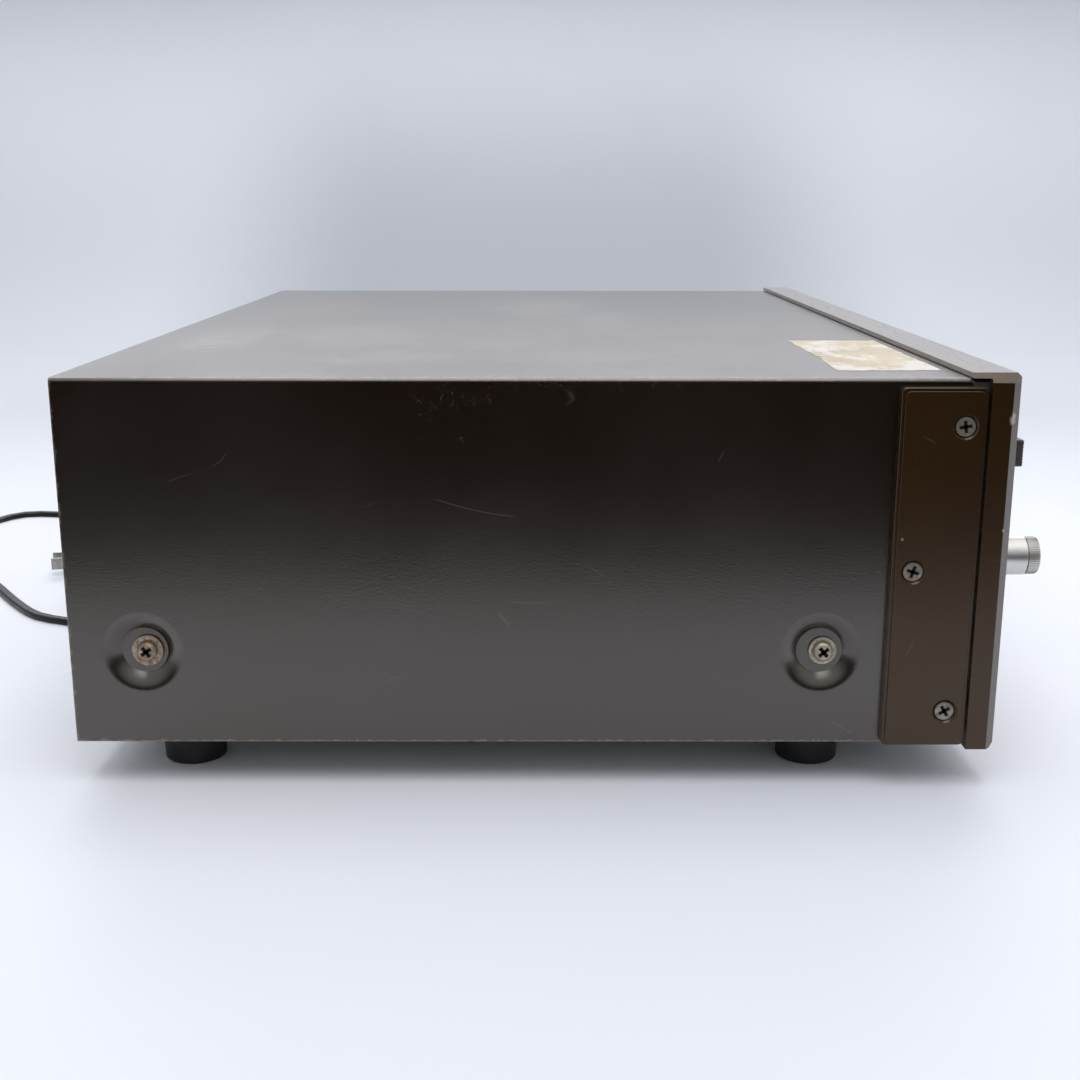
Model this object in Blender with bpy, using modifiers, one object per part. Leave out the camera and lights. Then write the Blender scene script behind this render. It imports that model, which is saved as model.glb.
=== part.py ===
# Front-loading cassette deck as an assembly of separate pieces.
# Metres, +Z up. The front faces -Y, and -X is the user's left.
# The origin is on the floor, under the middle of the deck without its cord.
# "Depth" below always means the distance behind the plane of the front panel.

import math

import bmesh
import bpy
from mathutils import Matrix, Vector

for old in list(bpy.data.objects):
    bpy.data.objects.remove(old, do_unlink=True)

# Driving dimensions
overall_width = 0.4300
cover_height = 0.1228
cover_rear = 0.3076
foot_height = 0.0150
cap_proud = 0.0035

# Clearances and cutting
seat_gap = 0.0003
slide_gap = 0.0003
overrun = 0.0020
same_plane = 0.00001

# Sheet metal
cover_sheet = 0.0010
pan_sheet = 0.0012
frame_sheet = 0.0015
bend_radius = 0.0015

# Front panel
panel_rise = 0.0020
panel_drop = 0.0014
panel_depth = 0.0088
lip_depth = 0.0146
panel_front_wall = 0.0035
panel_end_wall = 0.0030
panel_bottom_wall = 0.0020
panel_front_chamfer = 0.0020
panel_end_chamfer = 0.0030

# Parts that stand proud and set the overall depth
output_knob_proud = 0.0163
rear_inset = 0.0010
jack_proud = 0.0100

half_width = overall_width / 2
cover_half = half_width - cap_proud
cover_bottom = foot_height
cover_top = cover_bottom + cover_height
panel_top = cover_top + panel_rise
panel_bottom = cover_bottom - panel_drop
rear_face = cover_rear - rear_inset
total_depth = output_knob_proud + rear_face + jack_proud
front_y = output_knob_proud - total_depth / 2
pan_bottom = cover_bottom + seat_gap
pan_top = pan_bottom + pan_sheet
lip_under = cover_top + seat_gap

LEFT = Vector((-1, 0, 0))
RIGHT = Vector((1, 0, 0))
FRONT = Vector((0, -1, 0))
REAR = Vector((0, 1, 0))
UP = Vector((0, 0, 1))
DOWN = Vector((0, 0, -1))

parts = bpy.data.collections.new("cassette_deck")
cutters = bpy.data.collections.new("cutters")
bpy.context.scene.collection.children.link(parts)
bpy.context.scene.collection.children.link(cutters)


def depth(distance):
    """World Y of a point this far behind the front panel's plane."""
    return front_y + distance


def material(name, colour, roughness, metallic=0.0):
    made = bpy.data.materials.new(name)
    made.use_nodes = True
    shader = made.node_tree.nodes["Principled BSDF"]
    shader.inputs["Base Color"].default_value = (*colour, 1.0)
    shader.inputs["Roughness"].default_value = roughness
    shader.inputs["Metallic"].default_value = metallic
    return made


cover_paint = material("cover_paint", (0.055, 0.048, 0.045), 0.45)
bronze_paint = material("bronze_paint", (0.11, 0.075, 0.055), 0.38, 0.4)
zinc_steel = material("zinc_steel", (0.52, 0.51, 0.47), 0.38, 0.9)
screw_steel = material("screw_steel", (0.42, 0.40, 0.36), 0.45, 0.9)
knob_metal = material("knob_metal", (0.75, 0.74, 0.71), 0.25, 1.0)
black_plastic = material("black_plastic", (0.02, 0.02, 0.02), 0.5)
brown_plastic = material("brown_plastic", (0.07, 0.05, 0.04), 0.45)
foot_rubber = material("foot_rubber", (0.015, 0.015, 0.015), 0.8)
cord_vinyl = material("cord_vinyl", (0.012, 0.012, 0.012), 0.4)
smoked_pane = material("smoked_pane", (0.06, 0.055, 0.05), 0.08)
clear_pane = material("clear_pane", (0.12, 0.12, 0.12), 0.08)
board_green = material("board_green", (0.05, 0.14, 0.06), 0.6)
copper_core = material("copper_core", (0.30, 0.14, 0.07), 0.5, 0.3)
belt_rubber = material("belt_rubber", (0.02, 0.02, 0.02), 0.7)
needle_red = material("needle_red", (0.55, 0.06, 0.03), 0.4)
dial_white = material("dial_white", (0.75, 0.72, 0.62), 0.6)


def add_object(name, mesh, finish, place=Vector()):
    """Adds a mesh as a part, or as a hidden cutter when it has no finish."""
    made = bpy.data.objects.new(name, mesh)
    made.location = place
    if finish is None:
        cutters.objects.link(made)
        made.hide_render = True
        made.display_type = "WIRE"
    else:
        mesh.materials.clear()
        mesh.materials.append(finish)
        parts.objects.link(made)
    return made


def box(name, low, high, finish=None, origin=None):
    """A box between two world corners. Its origin is its middle, or the point given."""
    low = Vector(low)
    high = Vector(high)
    place = (low + high) / 2 if origin is None else Vector(origin)
    shape = bmesh.new()
    bmesh.ops.create_cube(shape, size=1)
    bmesh.ops.scale(shape, vec=high - low, verts=shape.verts)
    bmesh.ops.translate(shape, vec=(low + high) / 2 - place, verts=shape.verts)
    mesh = bpy.data.meshes.new(name)
    shape.to_mesh(mesh)
    shape.free()
    return add_object(name, mesh, finish, place)


def turned(name, profile, place, towards, finish=None, steps=32):
    """Turns a profile of (radius, height) points, top to bottom, about its own Z axis."""
    mesh = bpy.data.meshes.new(name)
    edges = [(i, i + 1) for i in range(len(profile) - 1)]
    mesh.from_pydata([(radius, 0, height) for radius, height in profile], edges, [])
    made = add_object(name, mesh, finish, Vector(place))
    made.rotation_euler = Vector(towards).to_track_quat("Z", "Y").to_euler()
    screw = made.modifiers.new("turn", "SCREW")
    screw.steps = steps
    screw.render_steps = steps
    screw.use_merge_vertices = True
    screw.merge_threshold = same_plane
    screw.use_smooth_shade = True
    return made


def rod(name, radius, low, high, place, towards, finish=None, steps=24):
    """A plain cylinder from height low to height high along its axis."""
    profile = [(0, high), (radius, high), (radius, low), (0, low)]
    return turned(name, profile, place, towards, finish, steps)


AXIS_TURNS = {
    "x": Matrix(((0, 0, 1), (1, 0, 0), (0, 1, 0))),
    "y": Matrix(((1, 0, 0), (0, 0, -1), (0, 1, 0))),
    "z": Matrix.Identity(3),
}


def prism(name, axis, low, high, outlines, finish=None, place=Vector()):
    """A flat outline, with any holes, given thickness from low to high along an axis.

    The outline's pairs are (y, z) for axis x, (x, z) for axis y and (x, y) for axis z.
    """
    curve = bpy.data.curves.new(name, "CURVE")
    curve.dimensions = "2D"
    curve.fill_mode = "BOTH"
    curve.extrude = (high - low) / 2
    for outline in outlines:
        spline = curve.splines.new("POLY")
        spline.points.add(len(outline) - 1)
        for point, (u, v) in zip(spline.points, outline):
            point.co = (u, v, 0, 1)
        spline.use_cyclic_u = True
    drawn = bpy.data.objects.new(name + "_outline", curve)
    bpy.context.scene.collection.objects.link(drawn)
    bpy.context.view_layer.update()
    graph = bpy.context.evaluated_depsgraph_get()
    mesh = bpy.data.meshes.new_from_object(drawn.evaluated_get(graph))
    bpy.data.objects.remove(drawn, do_unlink=True)
    shape = bmesh.new()
    shape.from_mesh(mesh)
    bmesh.ops.remove_doubles(shape, verts=shape.verts, dist=same_plane)
    bmesh.ops.transform(shape, matrix=AXIS_TURNS[axis].to_4x4(), verts=shape.verts)
    middle = Vector([(low + high) / 2 if letter == axis else 0 for letter in "xyz"])
    bmesh.ops.translate(shape, vec=middle - Vector(place), verts=shape.verts)
    bmesh.ops.recalc_face_normals(shape, faces=shape.faces)
    shape.to_mesh(mesh)
    shape.free()
    mesh.name = name
    return add_object(name, mesh, finish, Vector(place))


def rectangle(u_low, v_low, u_high, v_high, corner=0.0, steps=4):
    """Points of a rectangle, its corners rounded when a radius is given."""
    if corner == 0:
        return [(u_low, v_low), (u_high, v_low), (u_high, v_high), (u_low, v_high)]
    middles = [
        (u_high - corner, v_low + corner, -90),
        (u_high - corner, v_high - corner, 0),
        (u_low + corner, v_high - corner, 90),
        (u_low + corner, v_low + corner, 180),
    ]
    points = []
    for u, v, start in middles:
        for step in range(steps + 1):
            angle = math.radians(start + 90 * step / steps)
            points.append((u + corner * math.cos(angle), v + corner * math.sin(angle)))
    return points


def circle(u, v, radius, steps=32):
    turns = [2 * math.pi * step / steps for step in range(steps)]
    return [(u + radius * math.cos(turn), v + radius * math.sin(turn)) for turn in turns]


def change(target, others, operation):
    for other in others:
        boolean = target.modifiers.new(other.name, "BOOLEAN")
        boolean.operation = operation
        boolean.solver = "EXACT"
        boolean.object = other


def cut(target, *others):
    change(target, others, "DIFFERENCE")


def join(target, *others):
    change(target, others, "UNION")


def bevel_where(made, width, segments, chosen):
    """Bevels the edges whose two world end points are both chosen."""
    mesh = made.data
    weights = mesh.attributes.new("bevel_weight_edge", "FLOAT", "EDGE")
    turn = made.rotation_euler.to_matrix()
    points = [turn @ vertex.co + made.location for vertex in mesh.vertices]
    for edge, weight in zip(mesh.edges, weights.data):
        start, end = (points[i] for i in edge.vertices)
        weight.value = 1.0 if chosen(start) and chosen(end) else 0.0
    bevel = made.modifiers.new("soft_edges", "BEVEL")
    bevel.limit_method = "WEIGHT"
    bevel.width = width
    bevel.segments = segments
    return bevel


def bevel_side(made, direction, width, segments=2):
    """Bevels the rim of the side that faces a direction."""
    turn = made.rotation_euler.to_matrix()
    reach = max((turn @ vertex.co + made.location).dot(direction) for vertex in made.data.vertices)
    return bevel_where(made, width, segments, lambda point: reach - point.dot(direction) < same_plane)


def bevel_all(made, width, segments=2):
    bevel = made.modifiers.new("soft_edges", "BEVEL")
    bevel.limit_method = "ANGLE"
    bevel.angle_limit = math.radians(50)
    bevel.width = width
    bevel.segments = segments
    return bevel


def folded_sheet(name, low, high, open_sides, thickness, finish, radius=bend_radius):
    """A sheet folded round the inside of a box that stays open on some sides."""
    made = box(name, low, high, finish)
    shape = bmesh.new()
    shape.from_mesh(made.data)
    gone = [face for face in shape.faces if any(face.normal.dot(side) > 0.9 for side in open_sides)]
    bmesh.ops.delete(shape, geom=gone, context="FACES_ONLY")
    loose = [edge for edge in shape.edges if not edge.link_faces]
    bmesh.ops.delete(shape, geom=loose, context="EDGES")
    alone = [vertex for vertex in shape.verts if not vertex.link_edges]
    bmesh.ops.delete(shape, geom=alone, context="VERTS")
    shape.to_mesh(made.data)
    shape.free()
    bevel_all(made, radius, 2)
    solidify = made.modifiers.new("sheet", "SOLIDIFY")
    solidify.thickness = thickness
    solidify.offset = -1
    solidify.use_even_offset = True
    return made


# Cassette and mechanism places, which the door, the frame and the panel share
cassette_width = 0.1004
cassette_height = 0.0638
cassette_thickness = 0.0120
cassette_rise = 0.0180
hub_spacing = 0.0425
hub_rise = 0.0345
capstan_offset = 0.0223
capstan_rise = 0.0080
door_half = 0.0650
door_inset = 0.0470
door_bottom_margin = 0.0130
door_top_margin = 0.0118
door_thickness = 0.0110
door_wall = 0.0030
door_gap = 0.0009
door_x = door_inset + door_half - half_width
door_bottom = cover_bottom + door_bottom_margin
door_top = cover_top - door_top_margin
hinge_depth = 0.0078
hinge_rise = 0.0090
hinge_z = door_bottom + hinge_rise
cassette_bottom = door_bottom + cassette_rise
hub_z = cassette_bottom + hub_rise
capstan_x = door_x + capstan_offset
capstan_z = cassette_bottom + capstan_rise

# Left column: power button and output knob
power_inset = 0.0195
power_drop = 0.0263
power_width = 0.0080
power_height = 0.0090
power_proud = 0.0080
output_inset = 0.0200
output_drop = 0.0620
output_radius = 0.0066
knob_shaft_radius = 0.0030
power_x = power_inset - half_width
power_z = cover_top - power_drop
output_x = output_inset - half_width
output_z = cover_top - output_drop

# Right column: record knobs, tape switch and sockets
record_inset = 0.0490
record_drop = 0.0398
record_outer_radius = 0.0220
record_inner_radius = 0.0130
record_sleeve_radius = 0.0060
lever_radius = 0.0015
lever_slot_half_height = 0.0045
socket_rise = 0.0150
socket_pitch = 0.0250
socket_bore = 0.00325
socket_collar = 0.0055
socket_half_height = 0.0080
record_x = half_width - record_inset
record_z = cover_top - record_drop
socket_z = cover_bottom + socket_rise
socket_places = [record_x + (i - 1) * socket_pitch for i in range(3)]
switch_x = record_x
switch_z = (record_z - record_outer_radius + socket_z + socket_half_height) / 2

# Middle: display, keys below it, and the counter's reset button between them
display_space = 0.0140
display_to_record = 0.0500
display_drop = 0.0138
display_height = 0.0400
display_corner = 0.0015
pane_flange = 0.0020
display_left = door_x + door_half + display_space
display_right = record_x - display_to_record
display_high = cover_top - display_drop
display_low = display_high - display_height
key_count = 6
key_space = 0.0024
key_height = 0.0140
key_rise = 0.0290
flange_width = 0.0009
flange_depth = 0.0020
button_reach = 0.0060
key_pitch = (display_right - display_left) / key_count
key_width = key_pitch - key_space
key_z = cover_bottom + key_rise
key_names = ["record_key", "rewind_key", "play_key", "forward_key", "stop_key", "pause_key"]
key_middle_x = (display_left + display_right) / 2
key_places = [key_middle_x + (i - (key_count - 1) / 2) * key_pitch for i in range(key_count)]
reset_inset = 0.0100
reset_radius = 0.0035
reset_x = display_left + reset_inset
reset_z = (display_low - pane_flange + key_z + key_height / 2 + flange_width) / 2


def feet():
    """Four moulded feet with a hollow for the screw, a little wider at the top."""
    radius = 0.01175
    base_radius = 0.0107
    shoulder = 0.0040
    rounding = 0.0012
    hollow_radius = 0.0045
    hollow_depth = 0.0060
    side_inset = 0.0260
    front_depth = 0.0565
    rear_depth = 0.2742
    top = foot_height
    profile = [
        (0, top),
        (radius - rounding / 2, top),
        (radius, top - rounding / 2),
        (radius, top - shoulder),
        (base_radius + rounding / 2, rounding * 2),
        (base_radius, rounding),
        (base_radius - rounding, 0),
        (hollow_radius, 0),
        (hollow_radius, hollow_depth),
        (0, hollow_depth),
    ]
    middle = cover_half - side_inset
    for row, at_depth in (("front", front_depth), ("rear", rear_depth)):
        for side, x in (("left", -middle), ("right", middle)):
            turned(f"foot_{row}_{side}", profile, (x, depth(at_depth), 0), UP, foot_rubber, 16)


# Pressed dishes of the cover and their screws
dish_radius = 0.0127
dish_floor_radius = 0.0085
dish_sink = 0.0030
dish_rise = 0.0315
dish_depths = [0.0582, 0.2834]
dish_steps = 20
dish_rings = 4
cover_screw_hole = 0.0022
cover_screw_shank = 0.0018
washer_radius = 0.0053
washer_thickness = 0.0008
cover_head_radius = 0.0032
cover_head_height = 0.0021
cross_half_length = 0.0019
cross_half_width = 0.0005
cross_sink = 0.0012
cover_screw_length = 0.0080
pan_flange_half = cover_half - dish_sink - cover_sheet - seat_gap

# Side caps and their screws: (depth, height above the cover's bottom edge)
cap_front = 0.0096
cap_rear = 0.0373
cap_height = 0.1203
cap_corner = 0.0018
cap_bevel = 0.0012
cap_screws = [(0.0164, 0.1078), (0.0302, 0.0601), (0.0167, 0.0121)]
cap_screw_head = 0.0033
cap_screw_shank = 0.0015
cap_screw_sink = 0.0003
cap_screw_length = 0.0105
sink_radius = 0.0039
sink_floor_radius = 0.0022
sink_depth = 0.0020


def cross_recess(name, place, towards, reach):
    """A plus-shaped prism that cuts the driver's cross into a screw head."""
    long_half = cross_half_length
    thin_half = cross_half_width
    bars = []
    for half_u, half_v in ((long_half, thin_half), (thin_half, long_half)):
        low = (-half_u, -half_v, -cross_sink)
        high = (half_u, half_v, reach)
        bar = box(f"{name}_{'uv'[len(bars)]}", low, high, None, Vector())
        bar.location = place
        bar.rotation_euler = Vector(towards).to_track_quat("Z", "Y").to_euler()
        bars.append(bar)
    return bars


def top_cover():
    """One sheet folded over the top and both sides, with four pressed dishes."""
    low = (-cover_half, depth(lip_depth - seat_gap - rear_inset / 2), cover_bottom)
    high = (cover_half, depth(cover_rear), cover_top)
    cover = folded_sheet("top_cover", low, high, [DOWN, FRONT, REAR], cover_sheet, cover_paint)
    # The press pushes the sheet inwards: a boss behind it, then the dish out of both
    slope = [i / dish_rings for i in range(dish_rings + 1)]
    ring_radii = [dish_radius + (dish_floor_radius - dish_radius) * share for share in slope]
    ring_sinks = [dish_sink * (1 - math.cos(math.pi * share)) / 2 for share in slope]
    dish = [(0, overrun), (dish_radius, overrun)]
    dish += [(radius, -sink) for radius, sink in zip(ring_radii, ring_sinks)]
    dish += [(0, -dish_sink)]
    boss = [
        (0, -cover_sheet / 2),
        (dish_radius + cover_sheet, -cover_sheet / 2),
        (dish_floor_radius + cover_sheet, -dish_sink - cover_sheet),
        (0, -dish_sink - cover_sheet),
    ]
    for side, towards in (("left", LEFT), ("right", RIGHT)):
        for number, at_depth in enumerate(dish_depths):
            place = Vector((towards.x * cover_half, depth(at_depth), cover_bottom + dish_rise))
            label = f"dish_{side}_{number}"
            join(cover, turned(label + "_boss", boss, place, towards, None, dish_steps))
            cut(cover, turned(label, dish, place, towards, None, dish_steps))
            through = -dish_sink - cover_sheet - overrun
            hole = rod(label + "_hole", cover_screw_hole, through, overrun, place, towards, None, 16)
            cut(cover, hole)
        for number, (at_depth, rise) in enumerate(cap_screws):
            place = Vector((towards.x * cover_half, depth(at_depth), cover_bottom + rise))
            label = f"cap_hole_{side}_{number}"
            cut(cover, rod(label, sink_floor_radius, -overrun, overrun, place, towards, None, 12))
    return cover


def cover_screws():
    """Pan-head screws with a captive washer, one in each dish."""
    washer_base = -dish_sink + seat_gap
    washer_top = washer_base + washer_thickness
    head_top = washer_top + cover_head_height
    crown = cover_head_height / 3
    profile = [
        (0, head_top),
        (cover_head_radius - crown, head_top),
        (cover_head_radius, head_top - crown),
        (cover_head_radius, washer_top),
        (washer_radius - washer_thickness / 4, washer_top),
        (washer_radius, washer_top - washer_thickness / 4),
        (washer_radius, washer_base),
        (cover_screw_shank, washer_base),
        (cover_screw_shank, washer_base - cover_screw_length),
        (0, washer_base - cover_screw_length),
    ]
    for side, towards in (("left", LEFT), ("right", RIGHT)):
        for row, at_depth in zip(("front", "rear"), dish_depths):
            place = Vector((towards.x * cover_half, depth(at_depth), cover_bottom + dish_rise))
            name = f"cover_screw_{row}_{side}"
            made = turned(name, profile, place, towards, zinc_steel, 14)
            tip = place + Vector(towards) * head_top
            cut(made, *cross_recess(name + "_cross", tip, towards, overrun))


def side_caps():
    """Bevelled plates over the joint of cover and panel, three countersinks in each."""
    for side, towards in (("left", LEFT), ("right", RIGHT)):
        outer = half_width * towards.x
        inner = (cover_half + seat_gap) * towards.x
        low, high = min(inner, outer), max(inner, outer)
        outline = rectangle(
            depth(cap_front), cover_bottom, depth(cap_rear), cover_bottom + cap_height, cap_corner, 3
        )
        cap = prism(f"{side}_side_cap", "x", low, high, [outline], bronze_paint)
        bevel_side(cap, towards, cap_bevel)
        countersink = [
            (0, overrun),
            (sink_radius, overrun),
            (sink_radius, 0),
            (sink_floor_radius, -sink_depth),
            (sink_floor_radius, -cap_proud - overrun),
            (0, -cap_proud - overrun),
        ]
        for number, (at_depth, rise) in enumerate(cap_screws):
            place = Vector((outer, depth(at_depth), cover_bottom + rise))
            cut(cap, turned(f"sink_{side}_{number}", countersink, place, towards, None, 16))


def cap_screws_both_sides():
    """Countersunk screws, just below the face of the cap."""
    head_floor = -sink_depth
    profile = [
        (0, -cap_screw_sink),
        (cap_screw_head - cap_screw_sink, -cap_screw_sink),
        (cap_screw_head, -cap_screw_sink * 2),
        (cap_screw_shank, head_floor),
        (cap_screw_shank, head_floor - cap_screw_length),
        (0, head_floor - cap_screw_length),
    ]
    for side, towards in (("left", LEFT), ("right", RIGHT)):
        for number, (at_depth, rise) in enumerate(cap_screws):
            place = Vector((half_width * towards.x, depth(at_depth), cover_bottom + rise))
            name = f"cap_screw_{side}_{('upper', 'middle', 'lower')[number]}"
            made = turned(name, profile, place, towards, screw_steel, 14)
            tip = place - Vector(towards) * cap_screw_sink
            cut(made, *cross_recess(name + "_cross", tip, towards, overrun))


frame_half = cover_half - cover_sheet - seat_gap
frame_low = pan_top + seat_gap
frame_high = cover_top - cover_sheet - seat_gap
frame_front = panel_front_wall + seat_gap
frame_back = frame_front + frame_sheet
frame_flange_end = 0.0440


def front_panel():
    """Deep fascia: lip over the cover, chamfered rim, hollow behind, openings for the controls."""
    chamfer = panel_front_chamfer
    outline = [
        (depth(chamfer), panel_bottom),
        (depth(panel_depth), panel_bottom),
        (depth(panel_depth), lip_under),
        (depth(lip_depth), lip_under),
        (depth(lip_depth), panel_top),
        (depth(chamfer), panel_top),
        (depth(0), panel_top - chamfer),
        (depth(0), panel_bottom + chamfer),
    ]
    panel = prism("front_panel", "x", -half_width, half_width, [outline], bronze_paint)
    # Chamfers of the two ends: down the front corners, and along the ends of the top
    for side in (-1, 1):
        x = half_width * side
        in_x = (half_width - chamfer) * side
        out_x = (half_width + overrun) * side
        corner = [
            (in_x, depth(-overrun)),
            (in_x, depth(0)),
            (x, depth(chamfer)),
            (out_x, depth(chamfer)),
            (out_x, depth(-overrun)),
        ]
        label = "left" if side < 0 else "right"
        cut(panel, prism(
            f"panel_corner_{label}", "z", panel_bottom - overrun, panel_top + overrun, [corner]
        ))
        top_in = (half_width - panel_end_chamfer) * side
        wedge = [
            (top_in, panel_top),
            (x, panel_top - panel_end_chamfer),
            (out_x, panel_top - panel_end_chamfer),
            (out_x, panel_top + overrun),
            (top_in, panel_top + overrun),
        ]
        cut(panel, prism(
            f"panel_shoulder_{label}", "y", depth(-overrun), depth(lip_depth + overrun), [wedge]
        ))
    inner_half = half_width - panel_end_wall
    hollow_low = (-inner_half, depth(panel_front_wall), panel_bottom + panel_bottom_wall)
    hollow_high = (inner_half, depth(panel_depth + overrun), lip_under - seat_gap * 2)
    cut(panel, box("panel_hollow", hollow_low, hollow_high))
    through = (depth(-overrun), depth(panel_front_wall + overrun))
    door_hole = rectangle(
        door_x - door_half - door_gap,
        door_bottom - door_gap,
        door_x + door_half + door_gap,
        door_top + door_gap,
    )
    display_hole = rectangle(display_left, display_low, display_right, display_high, display_corner)
    power_hole = rectangle(
        power_x - power_width / 2 - slide_gap,
        power_z - power_height / 2 - slide_gap,
        power_x + power_width / 2 + slide_gap,
        power_z + power_height / 2 + slide_gap,
    )
    lever_hole = rectangle(
        switch_x - lever_radius - slide_gap,
        switch_z - lever_slot_half_height,
        switch_x + lever_radius + slide_gap,
        switch_z + lever_slot_half_height,
    )
    holes = [("door", door_hole), ("display", display_hole), ("power", power_hole)]
    holes += [("lever", lever_hole)]
    for name, x in zip(key_names, key_places):
        slot = rectangle(
            x - key_width / 2 - slide_gap,
            key_z - key_height / 2 - slide_gap,
            x + key_width / 2 + slide_gap,
            key_z + key_height / 2 + slide_gap,
        )
        holes.append((name, slot))
    holes.append(("output", circle(output_x, output_z, knob_shaft_radius + slide_gap, 20)))
    holes.append(("record", circle(record_x, record_z, record_sleeve_radius + slide_gap, 24)))
    holes.append(("reset", circle(reset_x, reset_z, reset_radius + slide_gap, 20)))
    for number, x in enumerate(socket_places):
        holes.append((f"socket_{number}", circle(x, socket_z, socket_collar + seat_gap, 16)))
    for label, outline in holes:
        cut(panel, prism(f"panel_hole_{label}", "y", *through, [outline]))
    return panel


# Display unit: its case stands behind the pane and holds two meters and the counter
pane_front_set = 0.0004
pane_step = panel_front_wall + seat_gap
pane_flange_thickness = 0.0016
case_front = pane_step + pane_flange_thickness + seat_gap
case_back = 0.0300
case_wall = 0.0020
dial_depth = 0.0150
counter_width = 0.0400
counter_right = display_left + counter_width
case_left = display_left - pane_flange
case_right = display_right + pane_flange
case_low = display_low - pane_flange
case_high = display_high + pane_flange
needle_rise = 0.0085
needle_pivot_z = display_low + needle_rise
dial_left = counter_right + case_wall
dial_right = case_right - case_wall
dial_width = dial_right - dial_left
meter_place_shares = (0.235, 0.735)
meter_places = [dial_left + dial_width * share for share in meter_place_shares]
needle_length_share = 0.255
frame_clear = 0.0010


def front_frame():
    """Pressed tray behind the panel: front plate with side and bottom flanges."""
    low = (-frame_half, depth(frame_front), frame_low)
    high = (frame_half, depth(frame_flange_end), frame_high)
    frame = folded_sheet("front_frame", low, high, [UP, REAR], frame_sheet, zinc_steel)
    through = (depth(frame_front - overrun), depth(frame_back + overrun))
    keys_half = key_pitch * (key_count - 1) / 2 + key_width / 2 + flange_width + frame_clear
    door_sweep = 0.0035
    windows = {
        "door": rectangle(
            door_x - door_half - frame_clear,
            door_bottom - door_sweep,
            door_x + door_half + frame_clear,
            door_top + frame_clear,
        ),
        "display": rectangle(
            case_left - seat_gap, case_low - seat_gap, case_right + seat_gap, case_high + seat_gap
        ),
        "keys": rectangle(
            key_middle_x - keys_half,
            key_z - key_height / 2 - flange_width - frame_clear,
            key_middle_x + keys_half,
            key_z + key_height / 2 + flange_width + frame_clear,
        ),
        "power": rectangle(
            power_x - power_width / 2 - flange_width - frame_clear,
            power_z - power_height / 2 - flange_width - frame_clear,
            power_x + power_width / 2 + flange_width + frame_clear,
            power_z + power_height / 2 + flange_width + frame_clear,
        ),
        "lever": rectangle(
            switch_x - lever_radius - slide_gap,
            switch_z - lever_slot_half_height,
            switch_x + lever_radius + slide_gap,
            switch_z + lever_slot_half_height,
        ),
        "output": circle(output_x, output_z, knob_shaft_radius + slide_gap, 20),
        "record": circle(record_x, record_z, record_sleeve_radius + slide_gap, 24),
        "reset": circle(reset_x, reset_z, reset_radius + flange_width + frame_clear, 20),
    }
    for number, x in enumerate(socket_places):
        windows[f"socket_{number}"] = circle(x, socket_z, socket_collar + seat_gap, 16)
    for label, outline in windows.items():
        cut(frame, prism(f"frame_hole_{label}", "y", *through, [outline]))
    for side, towards in (("left", LEFT), ("right", RIGHT)):
        for number, (at_depth, rise) in enumerate(cap_screws):
            place = Vector((towards.x * frame_half, depth(at_depth), cover_bottom + rise))
            label = f"frame_screw_{side}_{number}"
            reach = frame_sheet + overrun
            cut(frame, rod(label, sink_floor_radius, -reach, overrun, place, towards, None, 12))
    return frame


# Board on its posts, and the transformer
board_left_inset = 0.1200
board_right_inset = 0.1100
board_front = 0.0750
board_rear_inset = 0.0216
board_left = board_left_inset - half_width
board_right = half_width - board_right_inset
board_rear = rear_face - board_rear_inset
board_thickness = 0.0016
post_height = 0.0100
post_radius = 0.0030
post_inset = 0.0080
board_z = pan_top + post_height + seat_gap


def bottom_plate():
    """Chassis pan: floor, side walls that take the cover's screws, and the board's posts."""
    pan = folded_sheet(
        "bottom_plate",
        (-pan_flange_half, depth(panel_depth + seat_gap), pan_bottom),
        (pan_flange_half, depth(rear_face), cover_bottom + dish_rise + dish_radius),
        [UP, FRONT, REAR],
        pan_sheet,
        zinc_steel,
    )
    # The walls stop short of the front frame's flanges and of the rear panel
    for side in (-1, 1):
        inner = (pan_flange_half - pan_sheet - overrun) * side
        outer = (pan_flange_half + overrun) * side
        low_x, high_x = min(inner, outer), max(inner, outer)
        label = "left" if side < 0 else "right"
        lift = pan_top + seat_gap / 2
        cut(pan, box(
            f"pan_front_{label}",
            (low_x, depth(0), lift),
            (high_x, depth(frame_flange_end + seat_gap), cover_top),
        ))
        cut(pan, box(
            f"pan_rear_{label}",
            (low_x, depth(rear_face - pan_sheet - seat_gap), lift),
            (high_x, depth(rear_face + overrun), cover_top),
        ))
        for number, at_depth in enumerate(dish_depths):
            place = Vector((pan_flange_half * side, depth(at_depth), cover_bottom + dish_rise))
            towards = RIGHT * side
            reach = pan_sheet + overrun
            cut(pan, rod(
                f"pan_screw_{label}_{number}", cover_screw_hole, -reach, overrun, place, towards,
                None, 12,
            ))
    for x in (board_left + post_inset, board_right - post_inset):
        for at_depth in (board_front + post_inset, board_rear - post_inset):
            place = (x, depth(at_depth), pan_top)
            label = f"post_{len(pan.modifiers)}"
            join(pan, rod(label, post_radius, -pan_sheet / 2, post_height, place, UP, None, 12))
    return pan


# Rear panel with its socket block and cord entry
block_inset = 0.0720
block_rise = 0.0650
block_x = block_inset - half_width
block_z = cover_bottom + block_rise
block_width = 0.0440
block_height = 0.0340
block_plate = 0.0016
block_margin = 0.0030
block_corner = 0.0020
block_inside = 0.0180
jack_pitch = 0.0180
jack_radius = 0.0041
jack_bore = 0.0016
jack_bore_depth = 0.0085
cord_inset = 0.0300
cord_rise = 0.0370
cord_x = half_width - cord_inset
cord_z = cover_bottom + cord_rise
relief_length = 0.0340
relief_root = 0.0060
relief_tip = 0.0034
relief_neck = 0.0045
relief_collar = 0.0075
relief_inside = 0.0080


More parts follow.
